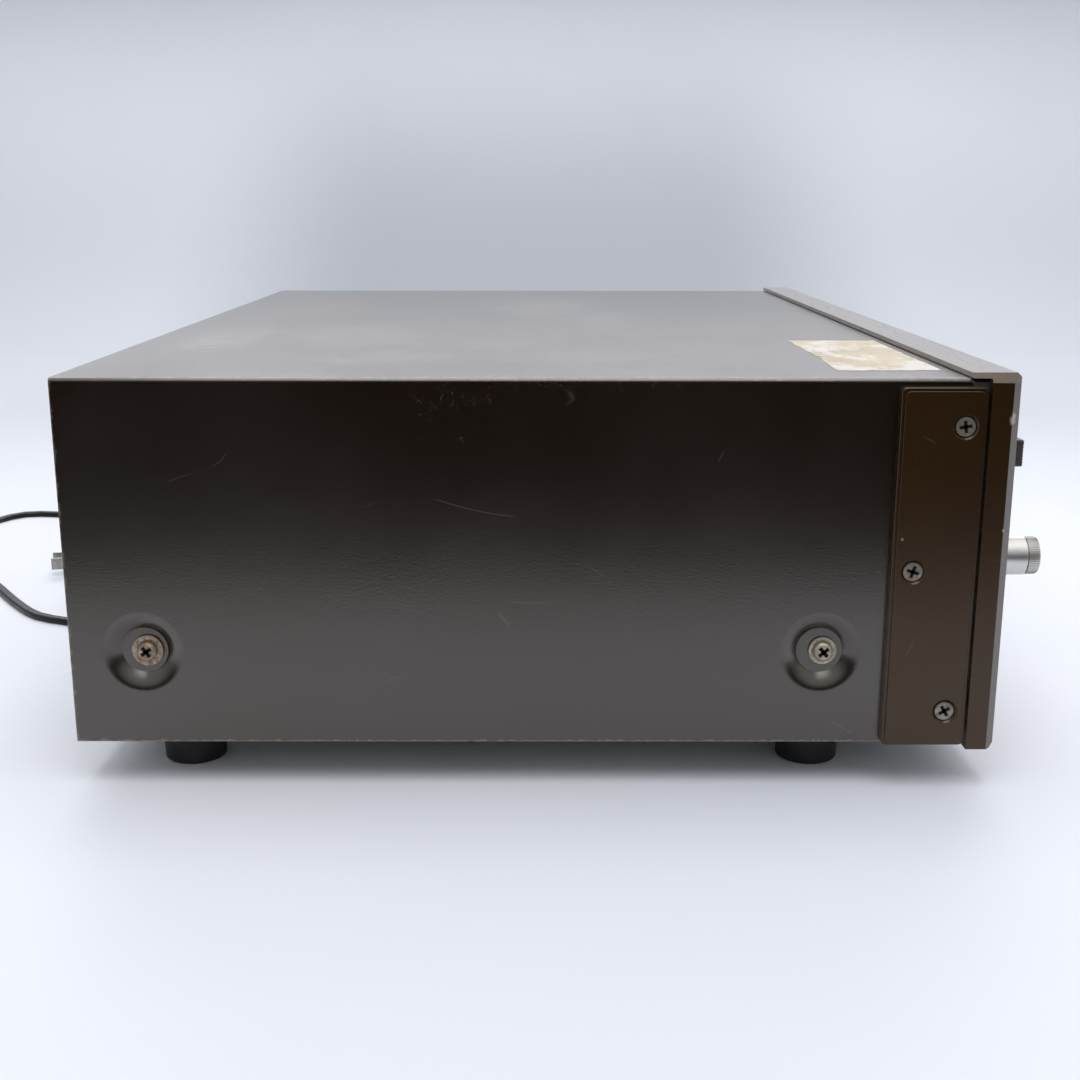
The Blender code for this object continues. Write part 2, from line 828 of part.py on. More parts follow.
def rear_panel():
    """Back sheet with a bottom flange that lies on the pan."""
    flange = 0.0140
    made = folded_sheet(
        "rear_panel",
        (-frame_half, depth(rear_face - flange), frame_low),
        (frame_half, depth(rear_face), frame_high),
        [UP, FRONT, LEFT, RIGHT],
        pan_sheet,
        cover_paint,
    )
    # The flange stays between the pan's side walls
    for side in (-1, 1):
        inner = (pan_flange_half - pan_sheet - seat_gap) * side
        outer = (frame_half + overrun) * side
        label = "left" if side < 0 else "right"
        cut(made, box(
            f"rear_flange_{label}",
            (min(inner, outer), depth(rear_face - flange - overrun), frame_low - overrun),
            (max(inner, outer), depth(rear_face - pan_sheet), frame_low + pan_sheet + bend_radius * 2),
        ))
    window = rectangle(
        block_x - block_width / 2 + block_margin - seat_gap,
        block_z - block_height / 2 + block_margin - seat_gap,
        block_x + block_width / 2 - block_margin + seat_gap,
        block_z + block_height / 2 - block_margin + seat_gap,
    )
    through = (depth(rear_face - pan_sheet - overrun), depth(rear_face + overrun))
    cut(made, prism("rear_block_window", "y", *through, [window]))
    entry = circle(cord_x, cord_z, relief_neck + seat_gap, 20)
    cut(made, prism("rear_cord_entry", "y", *through, [entry]))
    return made


def jack_block():
    """Moulded block with four line sockets, two in and two out."""
    plate = rectangle(
        block_x - block_width / 2,
        block_z - block_height / 2,
        block_x + block_width / 2,
        block_z + block_height / 2,
        block_corner,
        3,
    )
    back = rear_face + seat_gap
    block = prism("jack_block", "y", depth(back), depth(back + block_plate), [plate], black_plastic)
    body_low = (
        block_x - block_width / 2 + block_margin,
        depth(rear_face - block_inside),
        block_z - block_height / 2 + block_margin,
    )
    body_high = (
        block_x + block_width / 2 - block_margin,
        depth(back + block_plate / 2),
        block_z + block_height / 2 - block_margin,
    )
    join(block, box("jack_body", body_low, body_high))
    rim = jack_radius / 8
    tip = jack_proud
    collar = [
        (0, tip), (jack_radius - rim, tip), (jack_radius, tip - rim),
        (jack_radius, block_plate / 2), (0, block_plate / 2),
    ]
    for number in range(4):
        x = block_x + (number % 2 - 0.5) * jack_pitch
        z = block_z + (number // 2 - 0.5) * jack_pitch
        place = (x, depth(rear_face), z)
        join(block, turned(f"jack_collar_{number}", collar, place, REAR, None, 14))
        bore = rod(f"jack_bore_{number}", jack_bore, tip - jack_bore_depth, tip + overrun, place, REAR,
                   None, 12)
        cut(block, bore)
    return block


def strain_relief():
    """Tapered sleeve that holds the cord in the rear panel."""
    collar_thickness = 0.0020
    start = collar_thickness + seat_gap
    profile = [(0, relief_length), (relief_tip, relief_length)]
    profile += [
        (relief_root, start),
        (relief_collar, start),
        (relief_collar, seat_gap),
        (relief_neck, seat_gap),
        (relief_neck, -pan_sheet - seat_gap),
        (relief_collar, -pan_sheet - seat_gap),
        (relief_collar, -pan_sheet - seat_gap - collar_thickness),
        (relief_root, -relief_inside),
        (0, -relief_inside),
    ]
    place = (cord_x, depth(rear_face), cord_z)
    return turned("strain_relief", profile, place, REAR, cord_vinyl, 16)


def cassette_door():
    """Frame of the door: window opening, hollow back, rounded lower edge and hinge pins."""
    rounding = 0.0065
    edge = 0.0006
    pin_radius = 0.0012
    pin_reach = 0.0026
    origin = (door_x, depth(hinge_depth), hinge_z)
    low = (door_x - door_half, depth(0), door_bottom)
    high = (door_x + door_half, depth(door_thickness), door_top)
    door = box("cassette_door", low, high, bronze_paint, origin)

    def lower_front(point):
        return point.y < depth(same_plane) and point.z < door_bottom + same_plane

    bevel_where(door, rounding, 4, lower_front)
    rim = bevel_all(door, edge, 1)
    rim.name = "rim"
    inner = door_half - door_wall
    hollow_floor = door_bottom + door_wall + hinge_rise / 2
    hollow_low = (door_x - inner, depth(door_wall), hollow_floor)
    hollow_high = (door_x + inner, depth(door_thickness + overrun), door_top - door_wall)
    cut(door, box("door_hollow", hollow_low, hollow_high))
    opening = rectangle(window_left, window_low, window_right, window_high, window_corner, 3)
    through = (depth(-overrun), depth(door_wall + overrun))
    cut(door, prism("door_opening", "y", *through, [opening]))
    for side, towards in (("left", LEFT), ("right", RIGHT)):
        place = (door_x + door_half * towards.x, depth(hinge_depth), hinge_z)
        join(door, rod(f"door_pin_{side}", pin_radius, -door_wall / 2, pin_reach, place, towards, None, 16))
    return door


window_half = 0.0480
window_rise = 0.0280
window_drop = 0.0120
window_corner = 0.0020
window_left = door_x - window_half
window_right = door_x + window_half
window_low = door_bottom + window_rise
window_high = door_top - window_drop


def stepped_pane(name, left, low, right, high, corner, front, back, flange, step, finish, origin):
    """A pane that fills an opening, with a wider flange behind the wall it sits in."""
    wide = rectangle(left - flange, low - flange, right + flange, high + flange)
    pane = prism(name, "y", depth(step), depth(back), [wide], finish, Vector(origin))
    inner = rectangle(left + seat_gap, low + seat_gap, right - seat_gap, high - seat_gap, corner, 3)
    fill = prism(name + "_fill", "y", depth(front), depth((step + back) / 2), [inner])
    join(pane, fill)
    return pane


def door_window():
    origin = (door_x, depth(hinge_depth), hinge_z)
    flange = 0.0030
    thickness = 0.0018
    front = 0.0006
    step = door_wall + seat_gap
    return stepped_pane(
        "door_window", window_left, window_low, window_right, window_high, window_corner,
        front, step + thickness, flange, step, smoked_pane, origin,
    )


# Cassette holder on the back of the door
holder_sheet = 0.0010
holder_side_play = 0.0018
holder_front_play = 0.0002
holder_back_play = 0.0006
holder_drop = 0.0140
holder_half = cassette_width / 2 + holder_side_play
holder_low = cassette_bottom - holder_sheet - holder_front_play
holder_high = door_top - holder_drop
holder_front = door_thickness + seat_gap
cassette_front = holder_front + holder_sheet + holder_front_play
holder_back = cassette_front + cassette_thickness + holder_back_play
tape_gap_half = 0.0370


def cassette_holder():
    """Pressed pocket that carries the cassette: sides, lips and two bottom shelves."""
    lip = 0.0050
    window_margin = 0.0070
    ear_height = 0.0080
    origin = (door_x, depth(hinge_depth), hinge_z)
    low = (door_x - holder_half, depth(holder_front), holder_low)
    high = (door_x + holder_half, depth(holder_back + holder_sheet), holder_high)
    holder = box("cassette_holder", low, high, zinc_steel, origin)
    # Two bars of the front sheet reach out as ears, which lie on the door's side walls
    ear_half = door_half - holder_sheet
    for number, ear_low in enumerate((holder_low + ear_height / 2, holder_high - ear_height * 1.5)):
        join(holder, box(
            f"holder_ears_{number}",
            (door_x - ear_half, depth(holder_front), ear_low),
            (door_x + ear_half, depth(holder_front + holder_sheet), ear_low + ear_height),
        ))
    inner = holder_half - holder_sheet
    pocket_low = (door_x - inner, depth(holder_front + holder_sheet), holder_low + holder_sheet)
    pocket_high = (door_x + inner, depth(holder_back), holder_high + overrun)
    cut(holder, box("holder_pocket", pocket_low, pocket_high))
    back_low = (door_x - inner + lip, depth(holder_back - overrun), holder_low - overrun)
    back_high = (door_x + inner - lip, depth(holder_back + overrun), holder_high + overrun)
    cut(holder, box("holder_back", back_low, back_high))
    floor_low = (door_x - tape_gap_half, depth(holder_front + holder_sheet), holder_low - overrun)
    floor_high = (door_x + tape_gap_half, depth(holder_back + overrun), holder_low + overrun)
    cut(holder, box("holder_tape_gap", floor_low, floor_high))
    view_low = (door_x - inner + window_margin, depth(holder_front - overrun), window_low)
    view_high = (door_x + inner - window_margin, depth(holder_front + overrun), window_high - lip)
    cut(holder, box("holder_view", view_low, view_high))
    return holder


# Transport frame: a tray behind the front frame, open to the front
tray_clearance = 0.0013
tray_rise = 0.0040
tray_half = door_half + tray_clearance + frame_sheet
tray_front = frame_back + seat_gap
tray_low = frame_low + frame_sheet + seat_gap
tray_high = door_top + tray_rise
plate_front = 0.0325
plate_back = plate_front + frame_sheet
shaft_gap = 0.0003
hub_shaft_radius = 0.0020
capstan_radius = 0.0012
bearing_radius = 0.0055
bearing_length = 0.0170
bearing_end = plate_front + bearing_length


def transport_frame():
    """Mechanism plate with side and bottom walls, hinge holes and the capstan's bearing."""
    low = (door_x - tray_half, depth(tray_front), tray_low)
    high = (door_x + tray_half, depth(plate_back), tray_high)
    frame = folded_sheet("transport_frame", low, high, [UP, FRONT], frame_sheet, zinc_steel)
    pin_hole = 0.0015
    for side, towards in (("left", LEFT), ("right", RIGHT)):
        place = (door_x + tray_half * towards.x, depth(hinge_depth), hinge_z)
        reach = frame_sheet + overrun
        cut(frame, rod(f"hinge_hole_{side}", pin_hole, -reach, overrun, place, towards, None, 16))
    capstan = (capstan_x, depth(plate_front), capstan_z)
    length = bearing_end - plate_front
    bearing = rod("bearing", bearing_radius, frame_sheet / 2, length, capstan, REAR, None, 20)
    join(frame, bearing)
    bore = capstan_radius + shaft_gap
    cut(frame, rod("bearing_bore", bore, -overrun, length + overrun, capstan, REAR, None, 16))
    for side in (-1, 1):
        place = (door_x + side * hub_spacing / 2, depth(plate_front), hub_z)
        bore = hub_shaft_radius + shaft_gap
        label = f"hub_bore_{'left' if side < 0 else 'right'}"
        cut(frame, rod(label, bore, -overrun, frame_sheet + overrun, place, REAR, None, 16))
    for number, x in enumerate((head_left + guide_inset, head_right - guide_inset)):
        slot = rectangle(
            x - guide_radius - shaft_gap,
            guide_z - guide_radius - shaft_gap,
            x + guide_radius + shaft_gap,
            guide_z + guide_radius + head_travel + shaft_gap,
        )
        through = (depth(plate_front - overrun), depth(plate_back + overrun))
        cut(frame, prism(f"guide_slot_{number}", "y", *through, [slot]))
    return frame


def reel_hubs():
    """Two reel tables with splined spindles that turn the cassette's reels."""
    table_radius = 0.0140
    table_depth = 0.0045
    core_radius = 0.0034
    spline_radius = 0.0046
    spline_count = 6
    spline_half = 0.0006
    spindle = 0.0170
    shaft_behind = 0.0060
    edge = 0.0006
    table_low = seat_gap
    table_top = table_low + table_depth
    splines_end = spindle - core_radius
    profile = [
        (0, spindle),
        (core_radius / 2, spindle - edge),
        (core_radius, splines_end),
        (core_radius, table_top + edge),
        (table_radius / 2, table_top),
        (table_radius - edge, table_top),
        (table_radius, table_top - edge),
        (table_radius, table_low),
        (hub_shaft_radius, table_low),
        (hub_shaft_radius, -frame_sheet - shaft_behind),
        (0, -frame_sheet - shaft_behind),
    ]
    for name, side in (("supply_hub", -1), ("takeup_hub", 1)):
        place = Vector((door_x + side * hub_spacing / 2, depth(plate_front), hub_z))
        hub = turned(name, profile, place, FRONT, black_plastic, 16)
        for number in range(spline_count // 2):
            bar = box(
                f"{name}_spline_{number}",
                (-spline_radius, -spline_half, table_top - edge),
                (spline_radius, spline_half, splines_end),
                None,
                Vector(),
            )
            bar.location = place
            turn = Matrix.Rotation(math.pi * number / (spline_count // 2), 3, "Y")
            bar.rotation_euler = (turn @ FRONT.to_track_quat("Z", "Y").to_matrix()).to_euler()
            join(hub, bar)


# Head block and pinch roller
head_travel = 0.0065
head_reach_left = 0.0330
head_reach_right = 0.0350
head_floor_gap = 0.0020
head_plate = 0.0015
head_plate_drop = 0.0040
head_left = door_x - head_reach_left
head_right = door_x + head_reach_right
head_low = tray_low + frame_sheet + head_floor_gap
head_plate_high = cassette_bottom - head_plate_drop
head_width = 0.0120
head_height = 0.0080
head_set_back = 0.0030
head_front = cassette_front + head_set_back
guide_radius = 0.0015
guide_inset = 0.0060
guide_z = head_low + guide_inset
roller_radius = 0.0055
roller_half = 0.0040
roller_z = capstan_z - capstan_radius - roller_radius - seat_gap - head_travel
roller_depth = cassette_front + cassette_thickness / 2
roller_pin = 0.0012


def head_block():
    """Sliding plate with the record and erase heads, tape guides and the roller's pin."""
    back = plate_front - seat_gap
    front = back - head_plate
    low = (head_left, depth(front), head_low)
    high = (head_right, depth(back), head_plate_high)
    block = box("head_block", low, high, zinc_steel)
    head_top = cassette_bottom - seat_gap
    head = box(
        "play_head",
        (door_x - head_width / 2, depth(head_front), head_top - head_height),
        (door_x + head_width / 2, depth(back - head_plate / 2), head_top),
    )
    bevel_side(head, UP, head_height / 4, 2)
    erase_x = door_x - capstan_offset
    erase = box(
        "erase_head",
        (erase_x - head_width / 4, depth(head_front), head_top - head_height),
        (erase_x + head_width / 4, depth(back - head_plate / 2), head_top),
    )
    bevel_side(erase, UP, head_width / 8, 1)
    # Each head stands on a foot that reaches down to the plate's level
    feet_low = head_plate_high - head_height
    for number, (x, half) in enumerate(((door_x, head_width / 3), (erase_x, head_width / 6))):
        foot = box(
            f"head_foot_{number}",
            (x - half, depth(head_front + head_plate), feet_low),
            (x + half, depth(back - head_plate / 2), head_top - head_height / 2),
        )
        join(block, foot)
    join(block, head, erase)
    # A web carries the roller's pin, because the roller hangs below the plate's upper edge
    web_half = roller_pin * 2
    web_front = roller_half + seat_gap
    web = box(
        "roller_web",
        (capstan_x - web_half, depth(roller_depth + web_front), roller_z - web_half),
        (capstan_x + web_half, depth(back - head_plate / 3), roller_z + web_half),
    )
    join(block, web)
    pin_place = (capstan_x, depth(roller_depth), roller_z)
    pin_back = -web_front - head_plate
    pin = rod("roller_pin", roller_pin, pin_back, roller_half + head_plate, pin_place, FRONT, None, 12)
    join(block, pin)
    pin_cap = roller_half + seat_gap
    cap = rod(
        "roller_pin_cap", roller_pin * 2, pin_cap, pin_cap + head_plate, pin_place, FRONT, None, 12
    )
    join(block, cap)
    for number, x in enumerate((head_left + guide_inset, head_right - guide_inset)):
        place = (x, depth(back), guide_z)
        reach = frame_sheet + seat_gap * 2
        guide = rod(f"guide_{number}", guide_radius, -head_plate / 2, reach, place, REAR, None, 12)
        join(block, guide)
    return block


def pinch_roller():
    bore = roller_pin + shaft_gap
    edge = 0.0004
    profile = [
        (bore, roller_half),
        (roller_radius - edge, roller_half),
        (roller_radius, roller_half - edge),
        (roller_radius, -roller_half + edge),
        (roller_radius - edge, -roller_half),
        (bore, -roller_half),
        (bore, roller_half),
    ]
    place = (capstan_x, depth(roller_depth), roller_z)
    return turned("pinch_roller", profile, place, FRONT, belt_rubber, 20)


# Drive: flywheel on the capstan, motor with its pulley, and the belt round both
flywheel_radius = 0.0300
flywheel_thickness = 0.0090
flywheel_front = bearing_end + 2 * seat_gap
flywheel_back = flywheel_front + flywheel_thickness
motor_radius = 0.0170
motor_offset = 0.0390
motor_rise = 0.0175
motor_clearance = 0.0008
motor_x = door_x - motor_offset
motor_z = hub_z + motor_rise
motor_front = plate_back + seat_gap
motor_back = flywheel_front - motor_clearance
pulley_radius = 0.0050
pulley_shaft = 0.0010
belt_half = 0.0020
belt_thickness = 0.0008
belt_groove = 0.0006
belt_side_play = 0.0007
belt_depth = (flywheel_front + flywheel_back) / 2


def capstan_flywheel():
    """Thin capstan through the bearing, with a grooved flywheel behind it."""
    capstan_set_back = 0.0015
    capstan_front = cassette_front + capstan_set_back
    rim = 0.0010
    web_radius = 0.0230
    hub_radius = 0.0060
    web_sink = 0.0020
    groove_half = belt_half + belt_side_play
    mid = -belt_depth
    edge = 0.0008
    profile = [
        (0, -capstan_front),
        (capstan_radius, -capstan_front),
        (capstan_radius, -flywheel_front),
        (flywheel_radius - edge, -flywheel_front),
        (flywheel_radius, -flywheel_front - edge),
        (flywheel_radius, mid + groove_half),
        (flywheel_radius - belt_groove, mid + groove_half),
        (flywheel_radius - belt_groove, mid - groove_half),
        (flywheel_radius, mid - groove_half),
        (flywheel_radius, -flywheel_back),
        (web_radius + rim, -flywheel_back),
        (web_radius, -flywheel_back + web_sink),
        (hub_radius, -flywheel_back + web_sink),
        (hub_radius, -flywheel_back),
        (0, -flywheel_back),
    ]
    place = (capstan_x, depth(0), capstan_z)
    return turned("capstan_flywheel", profile, place, FRONT, screw_steel, 24)


def motor():
    edge = 0.0010
    nose_radius = 0.0060
    nose_height = 0.0012
    nose = motor_back - nose_height
    bore = pulley_shaft + shaft_gap
    bore_depth = 0.0080
    profile = [
        (0, -motor_front),
        (motor_radius - edge, -motor_front),
        (motor_radius, -motor_front - edge),
        (motor_radius, -nose + edge),
        (motor_radius - edge, -nose),
        (nose_radius, -nose),
        (nose_radius, -motor_back),
        (bore, -motor_back),
        (bore, -motor_back + bore_depth),
        (0, -motor_back + bore_depth),
    ]
    return turned("motor", profile, (motor_x, depth(0), motor_z), FRONT, screw_steel, 20)


def motor_pulley():
    flange = 0.0010
    groove_half = belt_half + belt_side_play
    shaft_in = 0.0060
    mid = -belt_depth
    profile = [
        (0, -motor_back + shaft_in),
        (pulley_shaft, -motor_back + shaft_in),
        (pulley_shaft, mid + groove_half + flange),
        (pulley_radius + flange, mid + groove_half + flange),
        (pulley_radius + flange, mid + groove_half),
        (pulley_radius, mid + groove_half),
        (pulley_radius, mid - groove_half),
        (pulley_radius + flange, mid - groove_half),
        (pulley_radius + flange, mid - groove_half - flange),
        (0, mid - groove_half - flange),
    ]
    return turned("motor_pulley", profile, (motor_x, depth(0), motor_z), FRONT, knob_metal, 16)


def belt_outline(big, big_radius, small, small_radius):
    """Outline of a band round two pulleys: two arcs joined by straight runs."""
    across = Vector((small[0] - big[0], small[1] - big[1]))
    heading = math.atan2(across.y, across.x)
    spread = math.acos((big_radius - small_radius) / across.length)
    points = []
    for centre, radius, start, end, steps in (
        (big, big_radius, heading + spread, heading + 2 * math.pi - spread, 28),
        (small, small_radius, heading - spread, heading + spread, 8),
    ):
        for step in range(steps + 1):
            angle = start + (end - start) * step / steps
            points.append((centre[0] + radius * math.cos(angle), centre[1] + radius * math.sin(angle)))
    return points


def drive_belt():
    big = (capstan_x, capstan_z)
    small = (motor_x, motor_z)
    big_inner = flywheel_radius - belt_groove + seat_gap
    small_inner = pulley_radius + seat_gap
    inner = belt_outline(big, big_inner, small, small_inner)
    outer = belt_outline(big, big_inner + belt_thickness, small, small_inner + belt_thickness)
    low = depth(belt_depth - belt_half)
    high = depth(belt_depth + belt_half)
    return prism("drive_belt", "y", low, high, [outer, inner], belt_rubber)


def sliding_button(name, x, z, half_width_x, half_height, proud, dish, finish):
    """A push button: rounded front face, shank through the panel and a stop flange behind."""
    back = panel_front_wall + button_reach
    low = (x - half_width_x, depth(-proud), z - half_height)
    high = (x + half_width_x, depth(back), z + half_height)
    button = box(name, low, high, finish)
    bevel_side(button, FRONT, dish, 2)
    front = panel_front_wall + slide_gap
    flange = box(
        name + "_flange",
        (x - half_width_x - flange_width, depth(front), z - half_height - flange_width),
        (x + half_width_x + flange_width, depth(front + flange_depth), z + half_height + flange_width),
    )
    join(button, flange)
    return button


def buttons():
    key_proud = 0.0050
    key_edge = 0.0010
    power_edge = 0.0006
    for name, x in zip(key_names, key_places):
        half = key_width / 2
        sliding_button(name, x, key_z, half, key_height / 2, key_proud, key_edge, brown_plastic)
    sliding_button(
        "power_button", power_x, power_z, power_width / 2, power_height / 2, power_proud,
        power_edge, brown_plastic,
    )
    reset_proud = 0.0030
    edge = 0.0005
    front = panel_front_wall + slide_gap
    profile = [
        (0, reset_proud),
        (reset_radius - edge, reset_proud),
        (reset_radius, reset_proud - edge),
        (reset_radius, -front),
        (reset_radius + flange_width, -front),
        (reset_radius + flange_width, -front - flange_depth),
        (0, -front - flange_depth),
    ]
    turned("counter_reset", profile, (reset_x, depth(0), reset_z), FRONT, black_plastic, 20)


def knobs():
    """The silver output knob, and the stacked record knobs for left and right."""
    face_gap = 0.0008
    shaft_reach = 0.0060
    shaft_end = frame_back + shaft_reach
    shoulder = 0.0006
    groove_at = 0.0120
    groove_width = 0.0008
    groove_sink = 0.0006
    crown = 0.0012
    tip_radius = output_radius - groove_sink / 2
    profile = [
        (0, output_knob_proud),
        (tip_radius - crown, output_knob_proud),
        (tip_radius, output_knob_proud - crown),
        (tip_radius, groove_at + groove_width),
        (output_radius - groove_sink * 2, groove_at + groove_width),
        (output_radius - groove_sink * 2, groove_at),
        (output_radius, groove_at - groove_sink / 2),
        (output_radius, face_gap + shoulder),
        (output_radius - shoulder, face_gap),
        (knob_shaft_radius, face_gap),
        (knob_shaft_radius, -shaft_end),
        (0, -shaft_end),
    ]
    place = (output_x, depth(0), output_z)
    turned("output_knob", profile, place, FRONT, knob_metal, 20)

    outer_proud = 0.0110
    inner_proud = 0.0155
    bore = knob_shaft_radius + slide_gap
    rim = 0.0012
    skirt = 0.0015
    profile = [
        (bore, outer_proud),
        (record_outer_radius - skirt - rim, outer_proud),
        (record_outer_radius - skirt, outer_proud - rim),
        (record_outer_radius, face_gap + skirt),
        (record_outer_radius, face_gap),
        (record_sleeve_radius, face_gap),
        (record_sleeve_radius, -frame_back),
        (bore, -frame_back),
        (bore, outer_proud),
    ]
    place = (record_x, depth(0), record_z)
    turned("record_knob_right", profile, place, FRONT, knob_metal, 28)
    profile = [
        (0, inner_proud),
        (record_inner_radius - rim, inner_proud),
        (record_inner_radius, inner_proud - rim),
        (record_inner_radius, outer_proud + slide_gap),
        (knob_shaft_radius, outer_proud + slide_gap),
        (knob_shaft_radius, -shaft_end),
        (0, -shaft_end),
    ]
    turned("record_knob_left", profile, place, FRONT, knob_metal, 24)


lever_barrel_radius = 0.0025
lever_axis_depth = frame_back + seat_gap + lever_barrel_radius


def tape_switch():
    """Bat lever on a cross barrel behind the frame's plate."""
    barrel_half = 0.0040
    tip_proud = 0.0095
    waist_share = 0.8
    place = (switch_x, depth(lever_axis_depth), switch_z)
    reach = lever_axis_depth + tip_proud
    profile = [
        (0, reach),
        (lever_radius / 2, reach),
        (lever_radius, reach - lever_radius / 2),
        (lever_radius * waist_share, lever_barrel_radius / 2),
        (0, lever_barrel_radius / 2),
    ]
    lever = turned("tape_switch", profile, place, FRONT, knob_metal, 16)
    barrel = rod("lever_barrel", lever_barrel_radius, -barrel_half, barrel_half, place, RIGHT, None, 16)
    join(lever, barrel)
    return lever


def front_jacks():
    """Block with the headphone socket and two microphone sockets."""
    body_margin = 0.0080
    body_front = frame_back + seat_gap
    body_back = 0.0300
    collar_proud = 0.0016
    bore_depth = 0.0270
    edge = 0.0005
    low = (socket_places[0] - body_margin, depth(body_front), socket_z - socket_half_height)
    high = (socket_places[-1] + body_margin, depth(body_back), socket_z + socket_half_height)
    block = box("front_jacks", low, high, black_plastic)
    collar = [
        (0, collar_proud),
        (socket_collar - edge, collar_proud),
        (socket_collar, collar_proud - edge),
        (socket_collar, -body_front - edge),
        (0, -body_front - edge),
    ]
    for number, x in enumerate(socket_places):
        place = (x, depth(0), socket_z)
        join(block, turned(f"socket_collar_{number}", collar, place, FRONT, None, 16))
        bore_low = collar_proud - bore_depth
        bore = rod(f"socket_bore_{number}", socket_bore, bore_low, collar_proud + overrun, place,
                   FRONT, None, 16)
        cut(block, bore)
    return block


def display_unit():
    """Case with two dials and the counter's bay, its pane, needles and counter wheels."""
    stepped_pane(
        "display_window", display_left, display_low, display_right, display_high, display_corner,
        pane_front_set, pane_step + pane_flange_thickness, pane_flange, pane_step, clear_pane,
        (display_left, depth(0), display_low),
    )
    case = box(
        "meter_case",
        (case_left, depth(case_front), case_low),
        (case_right, depth(case_back), case_high),
        black_plastic,
    )
    dial_bay = box(
        "dial_bay",
        (dial_left, depth(case_front - overrun), case_low + case_wall),
        (dial_right, depth(dial_depth), case_high - case_wall),
    )
    counter_back = case_back - case_wall
    counter_bay = box(
        "counter_bay",
        (case_left + case_wall, depth(case_front - overrun), case_low + case_wall),
        (counter_right, depth(counter_back), case_high - case_wall),
    )
    cut(case, dial_bay, counter_bay)
    # Counter: three number wheels on one axle across the bay
    wheel_radius = 0.0090
    wheel_width = 0.0075
    wheel_groove = 0.0006
    axle_radius = 0.0012
    axle_seat = 0.0012
    bay_left = case_left + case_wall
    wheel_x = (bay_left + counter_right) / 2
    wheel_z = (case_low + case_high) / 2
    wheel_depth = case_front + wheel_radius + axle_seat
    axle_half = (counter_right - bay_left) / 2 + axle_seat
    stack_half = wheel_width * 1.5
    place = (wheel_x, depth(wheel_depth), wheel_z)
    hole = axle_radius + shaft_gap
    hole_reach = axle_half + seat_gap
    cut(case, rod("counter_axle_hole", hole, -hole_reach, hole_reach, place, RIGHT, None, 12))
    profile = [(0, axle_half), (axle_radius, axle_half), (axle_radius, stack_half)]
    for wheel in range(3):
        top = stack_half - wheel * wheel_width
        low = top - wheel_width
        profile += [(wheel_radius - wheel_groove, top), (wheel_radius, top - wheel_groove)]
        profile += [(wheel_radius, low + wheel_groove), (wheel_radius - wheel_groove, low)]
        if wheel < 2:
            del profile[-1]
    profile += [(axle_radius, -stack_half), (axle_radius, -axle_half), (0, -axle_half)]
    turned("counter_wheels", profile, place, RIGHT, dial_white, 16)
    # Needles: rest at the left, pivot on a pin in the dial
    needle_length = dial_width * needle_length_share
    needle_half = 0.0004
    needle_thickness = 0.0006
    boss_radius = 0.0026
    boss_depth = 0.0016
    pin_radius = 0.0008
    pin_in = 0.0020
    rest_angle = math.radians(45)
    for name, x in zip(("needle_left", "needle_right"), meter_places):
        pivot = Vector((x, depth(dial_depth - seat_gap), needle_pivot_z))
        hole = rod(name + "_hole", pin_radius + shaft_gap, -pin_in - seat_gap * 2, overrun, pivot, FRONT,
                   None, 12)
        cut(case, hole)
        profile = [
            (0, boss_depth), (boss_radius, boss_depth), (boss_radius, 0), (pin_radius, 0),
            (pin_radius, -pin_in), (0, -pin_in),
        ]
        needle = turned(name, profile, pivot, FRONT, needle_red, 16)
        blade = box(
            name + "_blade",
            (-needle_half, -boss_depth, 0),
            (needle_half, -boss_depth + needle_thickness, needle_length),
            None,
            Vector(),
        )
        blade.location = pivot
        blade.rotation_euler = (0, -rest_angle, 0)
        join(needle, blade)
    return case


def electronics():
    """Main board with its larger components, and the transformer beside it."""
    board = box(
        "main_board",
        (board_left, depth(board_front), board_z),
        (board_right, depth(board_rear), board_z + board_thickness),
        board_green,
    )
    board_top = board_z + board_thickness
    board_width = board_right - board_left
    board_length = board_rear - board_front
    # Tall capacitors: shares of the board's width and length, then radius and height
    capacitor_place_shares = [(0.82, 0.80), (0.82, 0.64), (0.70, 0.86), (0.30, 0.30), (0.42, 0.30)]
    large = (0.0090, 0.0350)
    medium = (0.0060, 0.0200)
    small = (0.0050, 0.0120)
    capacitor_sizes = [large, large, medium, small, small]
    for number, ((u, v), (radius, height)) in enumerate(zip(capacitor_place_shares, capacitor_sizes)):
        place = (board_left + board_width * u, depth(board_front + board_length * v), board_top)
        join(board, rod(f"capacitor_{number}", radius, -board_thickness / 2, height, place, UP, None, 12))
    sink_low = (board_left + board_width * 0.50, depth(board_front + board_length * 0.70))
    sink_width = 0.0300
    sink_thickness = 0.0040
    sink_height = 0.0300
    join(board, box(
        "heat_sink",
        (*sink_low, board_z + board_thickness / 2),
        (sink_low[0] + sink_width, sink_low[1] + sink_thickness, board_top + sink_height),
    ))
    core_width = 0.0600
    core_length = 0.0500
    core_height = 0.0500
    coil_reach = 0.0080
    coil_margin = 0.0090
    foot_length = 0.0120
    foot_sheet = 0.0020
    core_inset = 0.0620
    core_rear_inset = 0.0616
    x = half_width - core_inset
    y = depth(rear_face - core_rear_inset)
    z = pan_top + seat_gap
    core = box(
        "power_transformer",
        (x - core_width / 2, y - core_length / 2, z),
        (x + core_width / 2, y + core_length / 2, z + core_height),
        copper_core,
    )
    join(core, box(
        "winding",
        (x - core_width / 2 + coil_margin, y - core_length / 2 - coil_reach, z + coil_margin),
        (x + core_width / 2 - coil_margin, y + core_length / 2 + coil_reach,
         z + core_height - coil_margin),
    ))
    join(core, box(
        "transformer_feet",
        (x - core_width / 2 - foot_length, y - core_length / 4, z),
        (x + core_width / 2 + foot_length, y + core_length / 4, z + foot_sheet),
    ))


